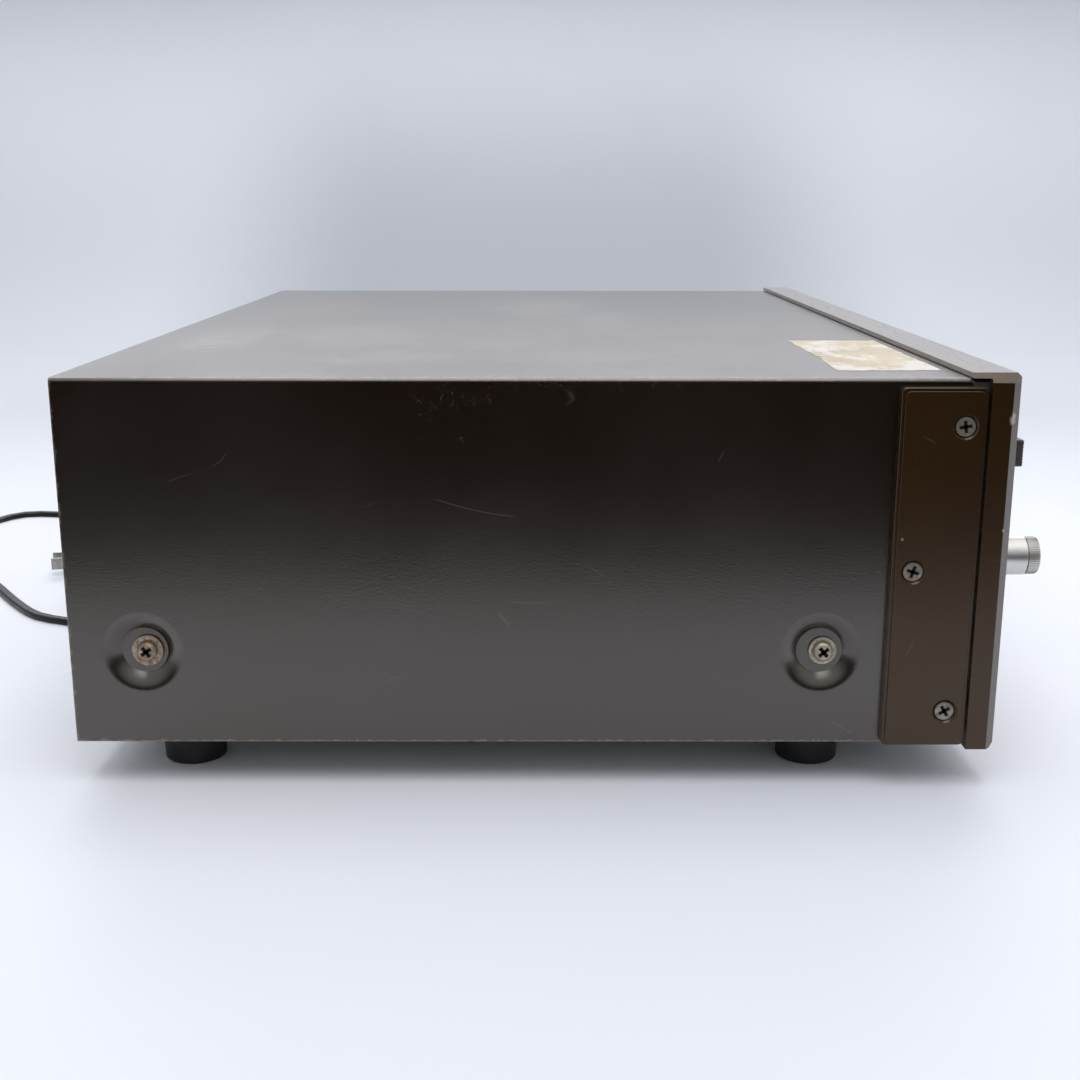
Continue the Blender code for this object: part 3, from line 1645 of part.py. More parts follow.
# Mains cord: real sizes, laid on the floor behind the deck
cord_radius = 0.0025
floor_gap = 0.0001
lie = cord_radius + floor_gap
cord_gap = 0.0003
point_spacing = 4 * cord_radius
coil_x = 0.0200
coil_behind = 0.0380
coil_mean_radius = 0.0280
coil_loops = 7
coil_layers = 4
coil_pitch = 0.0056
coil_points_a_loop = 24
end_straight = 2 * cord_radius
coil_swing = coil_pitch * coil_loops / coil_layers
coil_outer = coil_mean_radius + coil_swing / 2
coil_top_z = lie + coil_pitch * (coil_layers - 1)


def behind(distance):
    """World Y of a point this far behind the cover's rear edge."""
    return depth(cover_rear + distance)


def smooth_route(points, spacing):
    """Points at a steady spacing along a smooth curve through the route's own points."""
    fine = []
    ends = [points[0] * 2 - points[1]] + points + [points[-1] * 2 - points[-2]]
    for i in range(1, len(ends) - 2):
        before, start, end, after = ends[i - 1], ends[i], ends[i + 1], ends[i + 2]
        knots = [0.0]
        for near, far in ((before, start), (start, end), (end, after)):
            knots.append(knots[-1] + math.sqrt((far - near).length))
        a, b, c, d = knots
        for step in range(24):
            t = b + (c - b) * step / 24
            p = before.lerp(start, (t - a) / (b - a))
            q = start.lerp(end, (t - b) / (c - b))
            r = end.lerp(after, (t - c) / (d - c))
            u = p.lerp(q, (t - a) / (c - a))
            v = q.lerp(r, (t - b) / (d - b))
            fine.append(u.lerp(v, (t - b) / (c - b)))
    fine.append(points[-1].copy())
    lengths = [0.0]
    for near, far in zip(fine, fine[1:]):
        lengths.append(lengths[-1] + (far - near).length)
    count = max(2, round(lengths[-1] / spacing))
    even = []
    at = 0
    for step in range(count + 1):
        goal = lengths[-1] * step / count
        while at < len(fine) - 2 and lengths[at + 1] < goal:
            at += 1
        share = (goal - lengths[at]) / (lengths[at + 1] - lengths[at])
        even.append(fine[at].lerp(fine[at + 1], min(1.0, share)))
    return even, lengths[-1]


def tube(name, points, resolution, finish):
    curve = bpy.data.curves.new(name, "CURVE")
    curve.dimensions = "3D"
    curve.bevel_depth = cord_radius
    curve.bevel_resolution = resolution
    curve.use_fill_caps = True
    curve.resolution_u = 1
    curve.render_resolution_u = 0
    curve.twist_mode = "Z_UP"
    spline = curve.splines.new("POLY")
    spline.points.add(len(points) - 1)
    for point, place in zip(spline.points, points):
        point.co = (*place, 1)
    curve.materials.append(finish)
    made = bpy.data.objects.new(name, curve)
    parts.objects.link(made)
    return made


def coil_path():
    """Loops that spiral in and out again in layers, climbing where the spiral reverses."""
    layer_angle = 2 * math.pi * coil_loops / coil_layers
    points = []
    for step in range(coil_points_a_loop * coil_loops + 1):
        angle = 2 * math.pi * step / coil_points_a_loop
        layer = min(coil_layers - 1, int(angle / layer_angle))
        share = angle / layer_angle - layer
        inward = share if layer % 2 == 0 else 1 - share
        radius = coil_outer - coil_swing * inward
        rise = 0.0
        for turn in range(1, coil_layers):
            progress = (angle - turn * layer_angle) / math.pi + 0.5
            progress = min(1.0, max(0.0, progress))
            rise += progress * progress * (3 - 2 * progress)
        heading = angle - math.pi / 2
        points.append(Vector((
            coil_x + radius * math.cos(heading),
            behind(coil_behind) + radius * math.sin(heading),
            lie + coil_pitch * rise,
        )))
    straight = Vector((end_straight, 0, 0))
    return [points[0] - straight] + points + [points[-1] + straight]


def least_gap(points):
    """Smallest distance between the surfaces of a tube's separate turns."""
    apart = coil_points_a_loop // 3
    least = 1.0
    segments = list(zip(points, points[1:]))
    for i, (a, b) in enumerate(segments):
        for c, d in segments[i + apart:]:
            middle = (a + b) / 2 - (c + d) / 2
            if middle.length < 4 * cord_radius + (b - a).length:
                for share in (0.0, 0.25, 0.5, 0.75, 1.0):
                    spot = a.lerp(b, share)
                    along = d - c
                    t = min(1.0, max(0.0, (spot - c).dot(along) / along.length_squared))
                    least = min(least, (spot - c - along * t).length)
    return least - 2 * cord_radius


# The cord's free route, chosen by hand: world X, distance behind the cover, height of its middle
run_route = [
    (0.1850, 0.0333, 0.0520),
    (0.1850, 0.0440, 0.0512),
    (0.1852, 0.0580, 0.0420),
    (0.1858, 0.0700, 0.0270),
    (0.1868, 0.0840, 0.0130),
    (0.1885, 0.1020, 0.0048),
    (0.1915, 0.1200, 0.0027),
    (0.1945, 0.1386, 0.0026),
    (0.1968, 0.1520, 0.0026),
    (0.1940, 0.1640, 0.0026),
    (0.1780, 0.1735, 0.0026),
    (0.1550, 0.1765, 0.0026),
    (0.1320, 0.1720, 0.0026),
    (0.0940, 0.1560, 0.0026),
    (0.0580, 0.1375, 0.0026),
    (0.0270, 0.1165, 0.0026),
    (-0.0060, 0.0935, 0.0026),
    (-0.0220, 0.0795, 0.0026),
    (-0.0300, 0.0640, 0.0026),
    (-0.0345, 0.0470, 0.0026),
    (-0.0310, 0.0290, 0.0026),
    (-0.0190, 0.0140, 0.0026),
    (-0.0020, 0.0064, 0.0026),
]
tail_route = [
    (0.0380, 0.0051, 0.0193),
    (0.0450, 0.0051, 0.0188),
    (0.0542, 0.0051, 0.0170),
    (0.0617, 0.0063, 0.0148),
    (0.0685, 0.0096, 0.0124),
    (0.0740, 0.0148, 0.0100),
    (0.0777, 0.0215, 0.0081),
    (0.0793, 0.0289, 0.0068),
]
plug_tip = Vector((0.0620, 0.1010, 0.0063))
plug_heading = Vector((-0.25, 0.97, 0.0)).normalized()
plug_tail_length = 0.0160
plug_body_length = 0.0280
blade_length = 0.0170


def laid(points):
    return [Vector((x, behind(y), z)) for x, y, z in points]


def mains_cord():
    """Free run to the coil, the coil, and the short end that runs to the plug."""
    coil = coil_path()
    tube("cord_coil", coil, 1, cord_vinyl)
    coil_length = sum((b - a).length for a, b in zip(coil, coil[1:]))
    toward = Vector((1, 0, 0))
    run_end = coil[0] - toward * cord_gap
    run_points = laid(run_route) + [run_end - toward * end_straight, run_end]
    run_points[0].y = depth(rear_face + relief_length + cord_gap)
    run, run_length = smooth_route(run_points, point_spacing)
    tube("cord_run", run, 2, cord_vinyl)
    tail_start = coil[-1] + toward * cord_gap
    plug_back = plug_tip - plug_heading * (blade_length + plug_body_length + plug_tail_length)
    plug_back.y = behind(plug_back.y)
    tail_end = plug_back - plug_heading * cord_gap
    tail_points = [tail_start, tail_start + toward * end_straight] + laid(tail_route)
    tail_points += [tail_end - plug_heading * end_straight, tail_end]
    tail, tail_length = smooth_route(tail_points, point_spacing)
    tube("cord_tail", tail, 2, cord_vinyl)
    total = run_length + coil_length + tail_length
    print(f"cord: run {run_length:.3f} coil {coil_length:.3f} tail {tail_length:.3f} = {total:.3f} m")
    print(f"cord points: run {len(run)} coil {len(coil)} tail {len(tail)}")
    print(f"least gap between the coil's turns {least_gap(coil) * 1000:.2f} mm")


def mains_plug():
    """Moulded two-blade plug that lies flat on the floor."""
    body_half_width = 0.0110
    body_half_height = 0.0061
    body_edge = 0.0020
    tail_root = 0.0050
    tail_tip = 0.0036
    blade_half_gap = 0.00635
    blade_half_thickness = 0.0008
    blade_half_height = 0.0031
    overlap = 0.0010
    # Built along +X from the cord's end, then turned to its heading
    body = box(
        "mains_plug",
        (plug_tail_length, -body_half_width, -body_half_height),
        (plug_tail_length + plug_body_length, body_half_width, body_half_height),
        cord_vinyl,
        Vector(),
    )
    bevel_all(body, body_edge, 2)
    back = Vector((plug_tip.x, behind(plug_tip.y), plug_tip.z))
    back -= plug_heading * (blade_length + plug_body_length + plug_tail_length)
    turn = math.atan2(plug_heading.y, plug_heading.x)
    body.location = back
    body.rotation_euler = (0, 0, turn)
    tail = [
        (0, plug_tail_length + overlap),
        (tail_root, plug_tail_length + overlap),
        (tail_root, plug_tail_length - overlap),
        (tail_tip, 0),
        (0, 0),
    ]
    join(body, turned("plug_tail", tail, back, plug_heading, None, 16))
    for number, side in enumerate((-1, 1)):
        start = plug_tail_length + plug_body_length
        blade = box(
            f"plug_blade_{number}",
            (start - overlap, side * blade_half_gap - blade_half_thickness, -blade_half_height),
            (start + blade_length, side * blade_half_gap + blade_half_thickness, blade_half_height),
            None,
            Vector(),
        )
        blade.location = back
        blade.rotation_euler = (0, 0, turn)
        join(body, blade)


top_cover()
cover_screws()
side_caps()
cap_screws_both_sides()
front_panel()
front_frame()
bottom_plate()
rear_panel()
feet()
jack_block()
strain_relief()
cassette_door()
door_window()
cassette_holder()
transport_frame()
reel_hubs()
head_block()
pinch_roller()
capstan_flywheel()
motor()
motor_pulley()
drive_belt()
buttons()
knobs()
tape_switch()
front_jacks()
display_unit()
electronics()
mains_cord()
mains_plug()
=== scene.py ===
# %% [markdown]
# A front-loading cassette deck, standing on a pale table and seen from its left side.
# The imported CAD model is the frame: its boxes say where everything is, so each piece here is
# made in world metres at its final place, with its origin at zero. That keeps the object
# coordinates of every material the same as the world coordinates at rest.

# %% Load the frame
import math
import random

import bmesh
import bpy
from mathutils import Matrix, Vector


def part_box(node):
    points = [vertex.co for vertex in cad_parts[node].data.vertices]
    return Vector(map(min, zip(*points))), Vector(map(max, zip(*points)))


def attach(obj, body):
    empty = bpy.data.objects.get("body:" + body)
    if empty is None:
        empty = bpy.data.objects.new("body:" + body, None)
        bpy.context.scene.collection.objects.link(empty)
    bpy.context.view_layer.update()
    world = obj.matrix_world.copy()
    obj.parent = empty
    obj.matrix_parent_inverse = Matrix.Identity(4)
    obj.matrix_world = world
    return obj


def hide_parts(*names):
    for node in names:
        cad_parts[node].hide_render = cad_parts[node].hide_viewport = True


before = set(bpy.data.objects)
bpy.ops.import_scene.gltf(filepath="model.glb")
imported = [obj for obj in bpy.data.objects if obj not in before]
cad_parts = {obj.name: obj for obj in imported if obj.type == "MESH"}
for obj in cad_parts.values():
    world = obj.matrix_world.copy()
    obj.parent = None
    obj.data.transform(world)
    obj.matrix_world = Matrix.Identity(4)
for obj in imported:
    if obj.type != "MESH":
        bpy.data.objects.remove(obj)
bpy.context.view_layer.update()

cover_low, cover_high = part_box("top_cover")
panel_low, panel_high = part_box("front_panel")
front_y = panel_low.y
half_width = panel_high.x
cover_half = cover_high.x
cover_rear = cover_high.y - front_y


def depth(distance):
    """World Y of a point this far behind the plane of the front panel."""
    return front_y + distance


# %% [markdown]
# The camera comes first, because everything else is judged through it. Its place was fitted to
# the corners of the cover, the panel and the feet in the photograph. Its axes are worked out
# from the pitch, yaw and roll of the fit, so that each number stays readable.

# %% Camera
lens_mm = 46.77
sensor_mm = 36.0
camera_place = Vector((-0.6554, 0.00225, 0.1939))
pitch = math.radians(13.783)
yaw = math.radians(-0.109)
roll = math.radians(0.059)

ahead = Vector((math.cos(pitch) * math.cos(yaw), math.cos(pitch) * math.sin(yaw), -math.sin(pitch)))
level_right = Vector((math.sin(yaw), -math.cos(yaw), 0))
level_up = level_right.cross(ahead)
right = level_right * math.cos(roll) + level_up * math.sin(roll)
up = level_up * math.cos(roll) - level_right * math.sin(roll)

camera_data = bpy.data.cameras.new("camera")
camera_data.lens = lens_mm
camera_data.sensor_width = sensor_mm
camera_data.clip_start = 0.01
camera = bpy.data.objects.new("camera", camera_data)
camera.matrix_world = Matrix.Translation(camera_place) @ Matrix((right, up, -ahead)).transposed().to_4x4()
bpy.context.scene.collection.objects.link(camera)
bpy.context.scene.camera = camera
print("camera looks along", [round(v, 3) for v in ahead])

# %% [markdown]
# Shader nodes get long-winded in Python. This small class has one short word for each kind of
# node that the materials use: it adds the node, feeds its inputs and hands back its output.

# %% Short words for shader nodes
class Graph:
    def __init__(self, tree):
        self.tree = tree

    def put(self, kind, **settings):
        node = self.tree.nodes.new(kind)
        for name, value in settings.items():
            setattr(node, name, value)
        return node

    def feed(self, socket, value):
        if isinstance(value, bpy.types.NodeSocket):
            self.tree.links.new(value, socket)
        elif value is not None:
            socket.default_value = value

    def math(self, operation, a, b=0.0, c=None):
        node = self.put("ShaderNodeMath", operation=operation)
        for socket, value in zip(node.inputs, (a, b, c)):
            self.feed(socket, value)
        return node.outputs[0]

    def vector(self, operation, a, b=(0, 0, 0)):
        node = self.put("ShaderNodeVectorMath", operation=operation)
        self.feed(node.inputs[0], a)
        self.feed(node.inputs[1], b)
        return node.outputs["Value" if operation in ("LENGTH", "DISTANCE", "DOT_PRODUCT") else "Vector"]

    def place(self):
        return self.put("ShaderNodeTexCoord").outputs["Object"]

    def axes(self, vector):
        node = self.put("ShaderNodeSeparateXYZ")
        self.feed(node.inputs[0], vector)
        return node.outputs

    def stretch(self, vector, scale, turn=(0, 0, 0)):
        node = self.put("ShaderNodeMapping")
        self.feed(node.inputs["Vector"], vector)
        self.feed(node.inputs["Rotation"], turn)
        self.feed(node.inputs["Scale"], scale)
        return node.outputs[0]

    def noise(self, vector, scale, detail=3.0, roughness=0.5, distortion=0.0):
        node = self.put("ShaderNodeTexNoise")
        self.feed(node.inputs["Vector"], vector)
        for name, value in (("Scale", scale), ("Detail", detail), ("Roughness", roughness),
                            ("Distortion", distortion)):
            self.feed(node.inputs[name], value)
        return node.outputs["Fac"]

    def ramp(self, value, low, high, start=0.0, end=1.0):
        """Maps low..high smoothly to start..end."""
        node = self.put("ShaderNodeMapRange", interpolation_type="SMOOTHSTEP")
        for socket, given in zip(node.inputs, (value, low, high, start, end)):
            self.feed(socket, given)
        return node.outputs[0]

    def mix(self, share, a, b):
        node = self.put("ShaderNodeMix", data_type="RGBA")
        self.feed(node.inputs[0], share)
        self.feed(node.inputs[6], (*a, 1) if isinstance(a, tuple) else a)
        self.feed(node.inputs[7], (*b, 1) if isinstance(b, tuple) else b)
        return node.outputs[2]

    def group(self, tree, **values):
        node = self.put("ShaderNodeGroup", node_tree=tree)
        for name, value in values.items():
            self.feed(node.inputs[name.replace("_", " ")], value)
        return node.outputs

    def bump(self, height, strength, distance, normal=None):
        node = self.put("ShaderNodeBump")
        self.feed(node.inputs["Height"], height)
        self.feed(node.inputs["Normal"], normal)
        node.inputs["Strength"].default_value = strength
        node.inputs["Distance"].default_value = distance
        return node.outputs[0]


def new_group(name, inputs, outputs):
    """An empty shader node group with named float, vector or colour sockets."""
    tree = bpy.data.node_groups.new(name, "ShaderNodeTree")
    kinds = {"value": "NodeSocketFloat", "vector": "NodeSocketVector", "colour": "NodeSocketColor"}
    for socket, kind, default in inputs:
        made = tree.interface.new_socket(socket, in_out="INPUT", socket_type=kinds[kind])
        if default is not None:
            made.default_value = default
    for socket, kind in outputs:
        tree.interface.new_socket(socket, in_out="OUTPUT", socket_type=kinds[kind])
    graph = Graph(tree)
    entry = graph.put("NodeGroupInput").outputs
    leave = graph.put("NodeGroupOutput").inputs
    return tree, graph, entry, leave


def new_material(name, metallic=0.0, specular=0.5, transmission=0.0, ior=1.5, tint=(1, 1, 1), coat=0.0):
    """A material with a Principled shader, whose uniform values sit on its own sockets."""
    made = bpy.data.materials.new(name)
    made.use_nodes = True
    graph = Graph(made.node_tree)
    shader = made.node_tree.nodes["Principled BSDF"].inputs
    shader["Metallic"].default_value = metallic
    shader["Specular IOR Level"].default_value = specular
    shader["Transmission Weight"].default_value = transmission
    shader["IOR"].default_value = ior
    shader["Specular Tint"].default_value = (*tint, 1)
    shader["Coat Weight"].default_value = coat
    shader["Coat Roughness"].default_value = 0.28
    return made, graph, shader

# %% [markdown]
# Three effects show on almost every piece: a fine grain in the paint or the moulding, thin
# scratches, and soft stains. Each is a node group, built once. The scratches are thin contour
# lines of a stretched noise, broken up by a second noise, which looks like the hair-fine curved
# scratches of handled paint. A stain is a distance from a point, with a ragged edge.

# %% Grain
grain, g, entry, leave = new_group(
    "fine_grain",
    [("Place", "vector", None), ("Scale", "value", 1500.0), ("Drift", "value", 20.0)],
    [("Grain", "value"), ("Drift", "value")],
)
fine = g.noise(entry["Place"], entry["Scale"], 2.0, 0.6)
g.feed(leave["Grain"], g.ramp(fine, 0.3, 0.7))
g.feed(leave["Drift"], g.ramp(g.noise(entry["Place"], entry["Drift"], 4.0, 0.55), 0.3, 0.7))

# %% Scratches
scratches, g, entry, leave = new_group(
    "thin_scratches",
    [("Place", "vector", None), ("Scale", "value", 30.0), ("Width", "value", 0.004),
     ("Amount", "value", 0.5)],
    [("Scratches", "value")],
)
lines = []
for turn, share in (((0.3, 0.2, 0.1), 1.0), ((1.2, 0.5, 0.9), 0.7), ((2.2, 1.4, 0.3), 1.3)):
    turned_place = g.stretch(entry["Place"], (1.0, 0.25, 0.6), turn)
    scale = g.math("MULTIPLY", entry["Scale"], share)
    level = g.noise(turned_place, scale, 1.0, 0.4, 0.4)
    near = g.math("ABSOLUTE", g.math("SUBTRACT", level, 0.5))
    line = g.math("SUBTRACT", 1.0, g.ramp(near, 0.0, entry["Width"]))
    broken = g.noise(turned_place, g.math("MULTIPLY", entry["Scale"], 2.3 * share), 2.0)
    threshold = g.math("SUBTRACT", 1.0, entry["Amount"])
    line = g.math("MULTIPLY", line, g.ramp(broken, threshold, g.math("ADD", threshold, 0.06)))
    lines.append(line)
total = g.math("MAXIMUM", lines[0], g.math("MAXIMUM", lines[1], lines[2]))
g.feed(leave["Scratches"], total)

# %% Stains
stain, g, entry, leave = new_group(
    "soft_stain",
    [("Place", "vector", None), ("Centre", "vector", (0, 0, 0)), ("Size", "vector", (0.02, 0.02, 0.02)),
     ("Ragged", "value", 0.5), ("Scale", "value", 120.0)],
    [("Stain", "value")],
)
offset = g.vector("DIVIDE", g.vector("SUBTRACT", entry["Place"], entry["Centre"]), entry["Size"])
away = g.vector("LENGTH", offset)
torn = g.math("SUBTRACT", g.noise(entry["Place"], entry["Scale"], 5.0, 0.65), 0.5)
away = g.math("ADD", away, g.math("MULTIPLY", torn, g.math("MULTIPLY", entry["Ragged"], 4.0)))
g.feed(leave["Stain"], g.math("SUBTRACT", 1.0, g.ramp(away, 0.45, 1.1)))

# %% Lines along an edge
edge_wear_and_highlight, g, entry, leave = new_group(
    "edge_wear_and_highlight_mask",
    [("Place", "vector", None), ("Half", "vector", (0, 0, 0)), ("Middle", "vector", (0, 0, 0)),
     ("Width", "value", 0.001), ("Scale", "value", 300.0)],
    [("Edge", "value")],
)
# The two smallest distances to the faces of a box meet at its edges
inward = g.vector("ABSOLUTE", g.vector("SUBTRACT", entry["Place"], entry["Middle"]))
spare = g.axes(g.vector("SUBTRACT", entry["Half"], inward))
x_y = g.math("ADD", g.math("MAXIMUM", spare[0], 0.0), g.math("MAXIMUM", spare[1], 0.0))
y_z = g.math("ADD", g.math("MAXIMUM", spare[1], 0.0), g.math("MAXIMUM", spare[2], 0.0))
z_x = g.math("ADD", g.math("MAXIMUM", spare[2], 0.0), g.math("MAXIMUM", spare[0], 0.0))
nearest = g.math("MINIMUM", x_y, g.math("MINIMUM", y_z, z_x))
rough = g.noise(entry["Place"], entry["Scale"], 4.0, 0.7)
reach = g.math("MULTIPLY", entry["Width"], g.ramp(rough, 0.35, 0.75, 0.15, 1.6))
g.feed(leave["Edge"], g.math("SUBTRACT", 1.0, g.ramp(nearest, 0.0, reach)))
print("node groups", [tree.name for tree in bpy.data.node_groups])

# %% [markdown]
# Every piece is made the same way: rough shapes are drawn as temporary objects, their modifiers
# do the rounding and cutting, and the result is frozen into one plain mesh. Faces are shaded
# smooth except over sharp edges, and a weighted normal keeps large flat faces flat.

# %% Shapes
LEFT = Vector((-1, 0, 0))
RIGHT = Vector((1, 0, 0))
FRONT = Vector((0, -1, 0))
REAR = Vector((0, 1, 0))
UP = Vector((0, 0, 1))
same_place = 0.00001
overrun = 0.002
AXIS_TURNS = {
    "x": Matrix(((0, 0, 1), (1, 0, 0), (0, 1, 0))),
    "y": Matrix(((1, 0, 0), (0, 0, -1), (0, 1, 0))),
    "z": Matrix.Identity(3),
}


def draft(name, mesh):
    made = bpy.data.objects.new(name, mesh)
    bpy.context.scene.collection.objects.link(made)
    return made


def block(name, low, high):
    """A box between two world corners."""
    low, high = Vector(low), Vector(high)
    shape = bmesh.new()
    bmesh.ops.create_cube(shape, size=1)
    bmesh.ops.scale(shape, vec=high - low, verts=shape.verts)
    bmesh.ops.translate(shape, vec=(low + high) / 2, verts=shape.verts)
    mesh = bpy.data.meshes.new(name)
    shape.to_mesh(mesh)
    shape.free()
    return draft(name, mesh)


def lathe(name, profile, place=(0, 0, 0), towards=UP, steps=64):
    """A profile of (radius, height) points, top to bottom, turned about a direction."""
    shape = bmesh.new()
    rings = []
    for radius, height in profile:
        if radius == 0:
            rings.append([shape.verts.new((0, 0, height))])
        else:
            angles = [2 * math.pi * step / steps for step in range(steps)]
            rings.append([
                shape.verts.new((radius * math.cos(a), radius * math.sin(a), height)) for a in angles
            ])
    for above, below in zip(rings, rings[1:]):
        for step in range(steps):
            after = (step + 1) % steps
            corners = [above[step % len(above)], below[step % len(below)],
                       below[after % len(below)], above[after % len(above)]]
            shape.faces.new(list(dict.fromkeys(corners)))
    turn = Vector(towards).to_track_quat("Z", "Y").to_matrix().to_4x4()
    bmesh.ops.transform(shape, matrix=Matrix.Translation(Vector(place)) @ turn, verts=shape.verts)
    bmesh.ops.recalc_face_normals(shape, faces=shape.faces)
    mesh = bpy.data.meshes.new(name)
    shape.to_mesh(mesh)
    shape.free()
    return draft(name, mesh)


def rod(name, radius, low, high, place, towards, steps=32):
    return lathe(name, [(0, high), (radius, high), (radius, low), (0, low)], place, towards, steps)


def rectangle(u_low, v_low, u_high, v_high, corner=0.0, steps=6):
    """Points of a rectangle, its corners rounded when a radius is given."""
    if corner == 0:
        return [(u_low, v_low), (u_high, v_low), (u_high, v_high), (u_low, v_high)]
    points = []
    for u, v, start in ((u_high - corner, v_low + corner, -90), (u_high - corner, v_high - corner, 0),
                        (u_low + corner, v_high - corner, 90), (u_low + corner, v_low + corner, 180)):
        for step in range(steps + 1):
            angle = math.radians(start + 90 * step / steps)
            points.append((u + corner * math.cos(angle), v + corner * math.sin(angle)))
    return points


def circle(u, v, radius, steps=48):
    angles = [2 * math.pi * step / steps for step in range(steps)]
    return [(u + radius * math.cos(a), v + radius * math.sin(a)) for a in angles]


def plate(name, axis, low, high, outlines):
    """A flat outline, with any holes, given thickness along an axis."""
    curve = bpy.data.curves.new(name, "CURVE")
    curve.dimensions = "2D"
    curve.fill_mode = "BOTH"
    curve.extrude = (high - low) / 2
    for outline in outlines:
        spline = curve.splines.new("POLY")
        spline.points.add(len(outline) - 1)
        for point, (u, v) in zip(spline.points, outline):
            point.co = (u, v, 0, 1)
        spline.use_cyclic_u = True
    drawn = draft(name + "_outline", curve)
    mesh = freeze(drawn)
    shape = bmesh.new()
    shape.from_mesh(mesh)
    bmesh.ops.remove_doubles(shape, verts=shape.verts, dist=same_place)
    bmesh.ops.dissolve_limit(shape, angle_limit=0.01, verts=shape.verts, edges=shape.edges)
    bmesh.ops.transform(shape, matrix=AXIS_TURNS[axis].to_4x4(), verts=shape.verts)
    middle = Vector([(low + high) / 2 if letter == axis else 0 for letter in "xyz"])
    bmesh.ops.translate(shape, vec=middle, verts=shape.verts)
    bmesh.ops.recalc_face_normals(shape, faces=shape.faces)
    shape.to_mesh(mesh)
    shape.free()
    return draft(name, mesh)


def soften(made, width, segments=3, angle=40):
    """Rounds every edge sharper than the angle."""
    bevel = made.modifiers.new("soft_edges", "BEVEL")
    bevel.limit_method = "ANGLE"
    bevel.angle_limit = math.radians(angle)
    bevel.width = width
    bevel.segments = segments
    return made


def change(target, operation, others):
    for other in others:
        boolean = target.modifiers.new(other.name, "BOOLEAN")
        boolean.operation = operation
        boolean.solver = "EXACT"
        boolean.object = other
        other.hide_render = True
    return target


def cut(target, *others):
    return change(target, "DIFFERENCE", others)


def join(target, *others):
    return change(target, "UNION", others)


def freeze(made):
    """The mesh that the modifiers give, in world coordinates. The draft and its cutters go."""
    bpy.context.view_layer.update()
    graph = bpy.context.evaluated_depsgraph_get()
    mesh = bpy.data.meshes.new_from_object(made.evaluated_get(graph))
    mesh.transform(made.matrix_world)
    used = [m.object for m in made.modifiers if m.type == "BOOLEAN"]
    for gone in [made] + [other for other in used if other]:
        bpy.data.objects.remove(gone, do_unlink=True)
    return mesh


def keep(name, drawn, finish, body, nodes=(), sharp=35, weighted=True):
    """Freezes the drafts as one piece, gives each draft its finish, and sets it on its CAD body."""
    drafts = drawn if isinstance(drawn, (list, tuple)) else [drawn]
    finishes = finish if isinstance(finish, (list, tuple)) else [finish] * len(drafts)
    used = list(dict.fromkeys(finishes))
    shape = bmesh.new()
    for one, own in zip(drafts, finishes):
        mesh = freeze(one)
        before = len(shape.faces)
        shape.from_mesh(mesh)
        shape.faces.ensure_lookup_table()
        for face in shape.faces[before:]:
            face.material_index = used.index(own)
        bpy.data.meshes.remove(mesh)
    mesh = bpy.data.meshes.new(name)
    shape.to_mesh(mesh)
    shape.free()
    for own in used:
        mesh.materials.append(own)
    mesh.shade_smooth()
    mesh.set_sharp_from_angle(angle=math.radians(sharp))
    made = draft(name, mesh)
    if weighted:
        normals = made.modifiers.new("flat_faces", "WEIGHTED_NORMAL")
        normals.keep_sharp = True
        mesh = freeze(made)
        made = draft(name, mesh)
    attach(made, body)
    if nodes:
        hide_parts(*nodes)
    return made

# %% [markdown]
# The cord is next. The photograph shows a thin flat cord, two cores side by side with a groove
# between them, which lies on the table behind the deck and goes out of the picture in a wide
# bend. Its length is put away in a coil behind the cover, where the camera can't see it. The
# route's points are those of the CAD tube, and the flat section is swept along them by hand,
# because a curve's own bevel would twist it.

# %% Route of the cord
cord_width = 0.0050
cord_thickness = 0.0030
tube_radius = 0.0025
floor_gap = 0.0001
lie = tube_radius + floor_gap
sink = tube_radius - cord_thickness / 2
relief_length = 0.0340
rear_inset = 0.0010
cord_gap = 0.0003
point_spacing = 0.0100
coil_x = 0.0200
coil_behind = 0.0380
coil_mean_radius = 0.0280
coil_loops = 7
coil_layers = 4
coil_pitch = 0.0056
coil_points_a_loop = 24
end_straight = 2 * tube_radius
coil_swing = coil_pitch * coil_loops / coil_layers
coil_outer = coil_mean_radius + coil_swing / 2

run_route = [
    (0.1850, 0.0333, 0.0520), (0.1850, 0.0440, 0.0512), (0.1852, 0.0580, 0.0420),
    (0.1858, 0.0700, 0.0270), (0.1868, 0.0840, 0.0130), (0.1885, 0.1020, 0.0048),
    (0.1915, 0.1200, 0.0027), (0.1945, 0.1386, 0.0026), (0.1968, 0.1520, 0.0026),
    (0.1940, 0.1640, 0.0026), (0.1780, 0.1735, 0.0026), (0.1550, 0.1765, 0.0026),
    (0.1320, 0.1720, 0.0026), (0.0940, 0.1560, 0.0026), (0.0580, 0.1375, 0.0026),
    (0.0270, 0.1165, 0.0026), (-0.0060, 0.0935, 0.0026), (-0.0220, 0.0795, 0.0026),
    (-0.0300, 0.0640, 0.0026), (-0.0345, 0.0470, 0.0026), (-0.0310, 0.0290, 0.0026),
    (-0.0190, 0.0140, 0.0026), (-0.0020, 0.0064, 0.0026),
]
tail_route = [
    (0.0380, 0.0051, 0.0193), (0.0450, 0.0051, 0.0188), (0.0542, 0.0051, 0.0170),
    (0.0617, 0.0063, 0.0148), (0.0685, 0.0096, 0.0124), (0.0740, 0.0148, 0.0100),
    (0.0777, 0.0215, 0.0081), (0.0793, 0.0289, 0.0068),
]
plug_tip = Vector((0.0620, 0.1010, 0.0063))
plug_heading = Vector((-0.25, 0.97, 0.0)).normalized()
plug_tail_length = 0.0160
plug_body_length = 0.0280
blade_length = 0.0170


def behind(distance):
    """World Y of a point this far behind the cover's rear edge."""
    return depth(cover_rear + distance)


